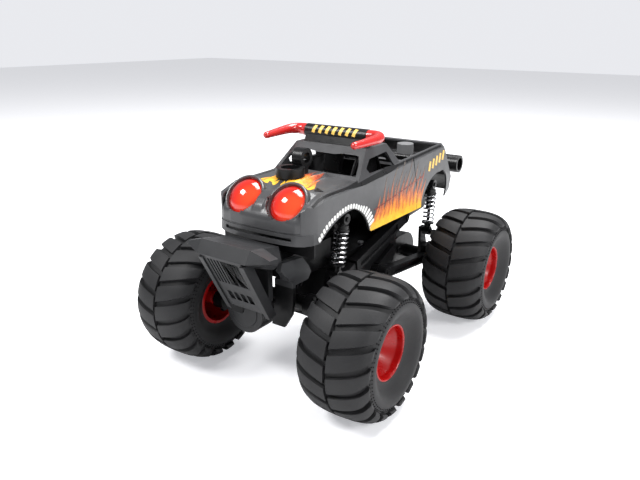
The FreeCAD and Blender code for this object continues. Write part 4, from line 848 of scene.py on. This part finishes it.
def dress_cad_nodes():
    """Materials for every carried-over node, and rounded edges for the visible ones."""
    # The nose guards' grey above GUARD_EDGE_Z is a painted highlight on their lit top faces; below it they
    # are black.
    special = {"front_valance": split_at_height("valance_grey_black", BODY_GREY, DARK, VALANCE_EDGE_Z),
               "nose_guards": split_at_height("guard_painted_top_highlight", GUARD_TOP_HIGHLIGHT, DARK, GUARD_EDGE_Z)}
    for name, obj in frame["nodes"].items():
        obj.data.materials.clear()
        obj.data.materials.append(special.get(name, MATERIALS[SLOT_OF[name]]))
        if obj.hide_render:
            continue
        if name in SOFT_EDGES:
            normals = obj.data.attributes.get("custom_normal")
            if normals is not None:
                obj.data.attributes.remove(normals)
            soften(obj, SOFT_EDGES[name])


# ---------------------------------------------------------------- stage
def area_light(name, place, target, size, power):
    """Soft rectangular lamp that points at a target."""
    data = bpy.data.lights.new(name, "AREA")
    data.shape = "RECTANGLE"
    data.size, data.size_y = size
    data.energy = power
    lamp = bpy.data.objects.new(name, data)
    lamp.location = place
    lamp.rotation_mode = "QUATERNION"
    lamp.rotation_quaternion = (Vector(target) - Vector(place)).to_track_quat("-Z", "Y")
    bpy.context.scene.collection.objects.link(lamp)


CAMERA_AT = (0.2735, -0.4413, 0.2653)
CAMERA_AZIMUTH, CAMERA_ELEVATION, CAMERA_ROLL = math.radians(34.13), math.radians(18.88), math.radians(0.375)
CAMERA_LENS = 34.73
FILL_LIGHT, BACKDROP_LIGHT, FLOOR_GLOW = 0.34, 0.86, 0.4
FLOOR_SIZE = 4.0


def floor_paint():
    """Pale studio floor that stays pale far from the lights, without lighting the truck from below."""
    paint = plastic("floor_pale", (0.86, 0.86, 0.87), 0.6, vary=0.01, grain=400.0, bump=0.02,
                    emission=((0.95, 0.96, 1.0), 0.0))
    tree = paint.node_tree
    seen = tree.nodes.new("ShaderNodeLightPath")
    level = tree.nodes.new("ShaderNodeMapRange")
    level.inputs["To Max"].default_value = FLOOR_GLOW
    tree.links.new(seen.outputs["Is Camera Ray"], level.inputs["Value"])
    tree.links.new(level.outputs["Result"], tree.nodes["Principled BSDF"].inputs["Emission Strength"])
    return paint


def stage():
    """Floor, world, three soft lamps and the camera."""
    floor = bmesh.new()
    bmesh.ops.create_grid(floor, x_segments=40, y_segments=40, size=FLOOR_SIZE)
    mesh = bpy.data.meshes.new("floor")
    floor.to_mesh(mesh)
    floor.free()
    mesh.materials.append(floor_paint())
    ground = bpy.data.objects.new("floor", mesh)
    bpy.context.scene.collection.objects.link(ground)

    world = bpy.data.worlds.new("studio")
    world.use_nodes = True
    tree = world.node_tree
    backdrop = tree.nodes["Background"]
    backdrop.inputs["Color"].default_value = (0.95, 0.96, 1.0, 1)
    seen = tree.nodes.new("ShaderNodeLightPath")
    level = tree.nodes.new("ShaderNodeMapRange")
    level.inputs["To Min"].default_value = FILL_LIGHT
    level.inputs["To Max"].default_value = BACKDROP_LIGHT
    tree.links.new(seen.outputs["Is Camera Ray"], level.inputs["Value"])
    tree.links.new(level.outputs["Result"], backdrop.inputs["Strength"])
    bpy.context.scene.world = world
    area_light("key", (-0.55, -0.8, 1.15), (0, 0, 0.08), (0.55, 0.4), 17)
    area_light("side", (1.2, -0.1, 0.75), (0, 0, 0.1), (0.5, 0.35), 11)
    area_light("top", (0.1, 0.5, 1.3), (0, 0, 0.1), (0.9, 0.7), 30)
    bpy.context.scene.view_settings.view_transform = "Standard"

    data = bpy.data.cameras.new("camera")
    data.sensor_width = 36.0
    data.lens = CAMERA_LENS
    data.clip_start, data.clip_end = 0.01, 20.0
    camera = bpy.data.objects.new("camera", data)
    camera.location = CAMERA_AT
    back = Vector((math.sin(CAMERA_AZIMUTH) * math.cos(CAMERA_ELEVATION),
                   -math.cos(CAMERA_AZIMUTH) * math.cos(CAMERA_ELEVATION), math.sin(CAMERA_ELEVATION)))
    turn = (-back).to_track_quat("-Z", "Y").to_matrix() @ Matrix.Rotation(CAMERA_ROLL, 3, "Z")
    camera.rotation_mode = "QUATERNION"
    camera.rotation_quaternion = turn.to_quaternion()
    bpy.context.scene.collection.objects.link(camera)
    bpy.context.scene.camera = camera


wheels()
springs()
bonnet()
bar_ends()
side_decoration()
hood_decoration()
bar_decoration()
dress_cad_nodes()
stage()

bpy.context.view_layer.update()
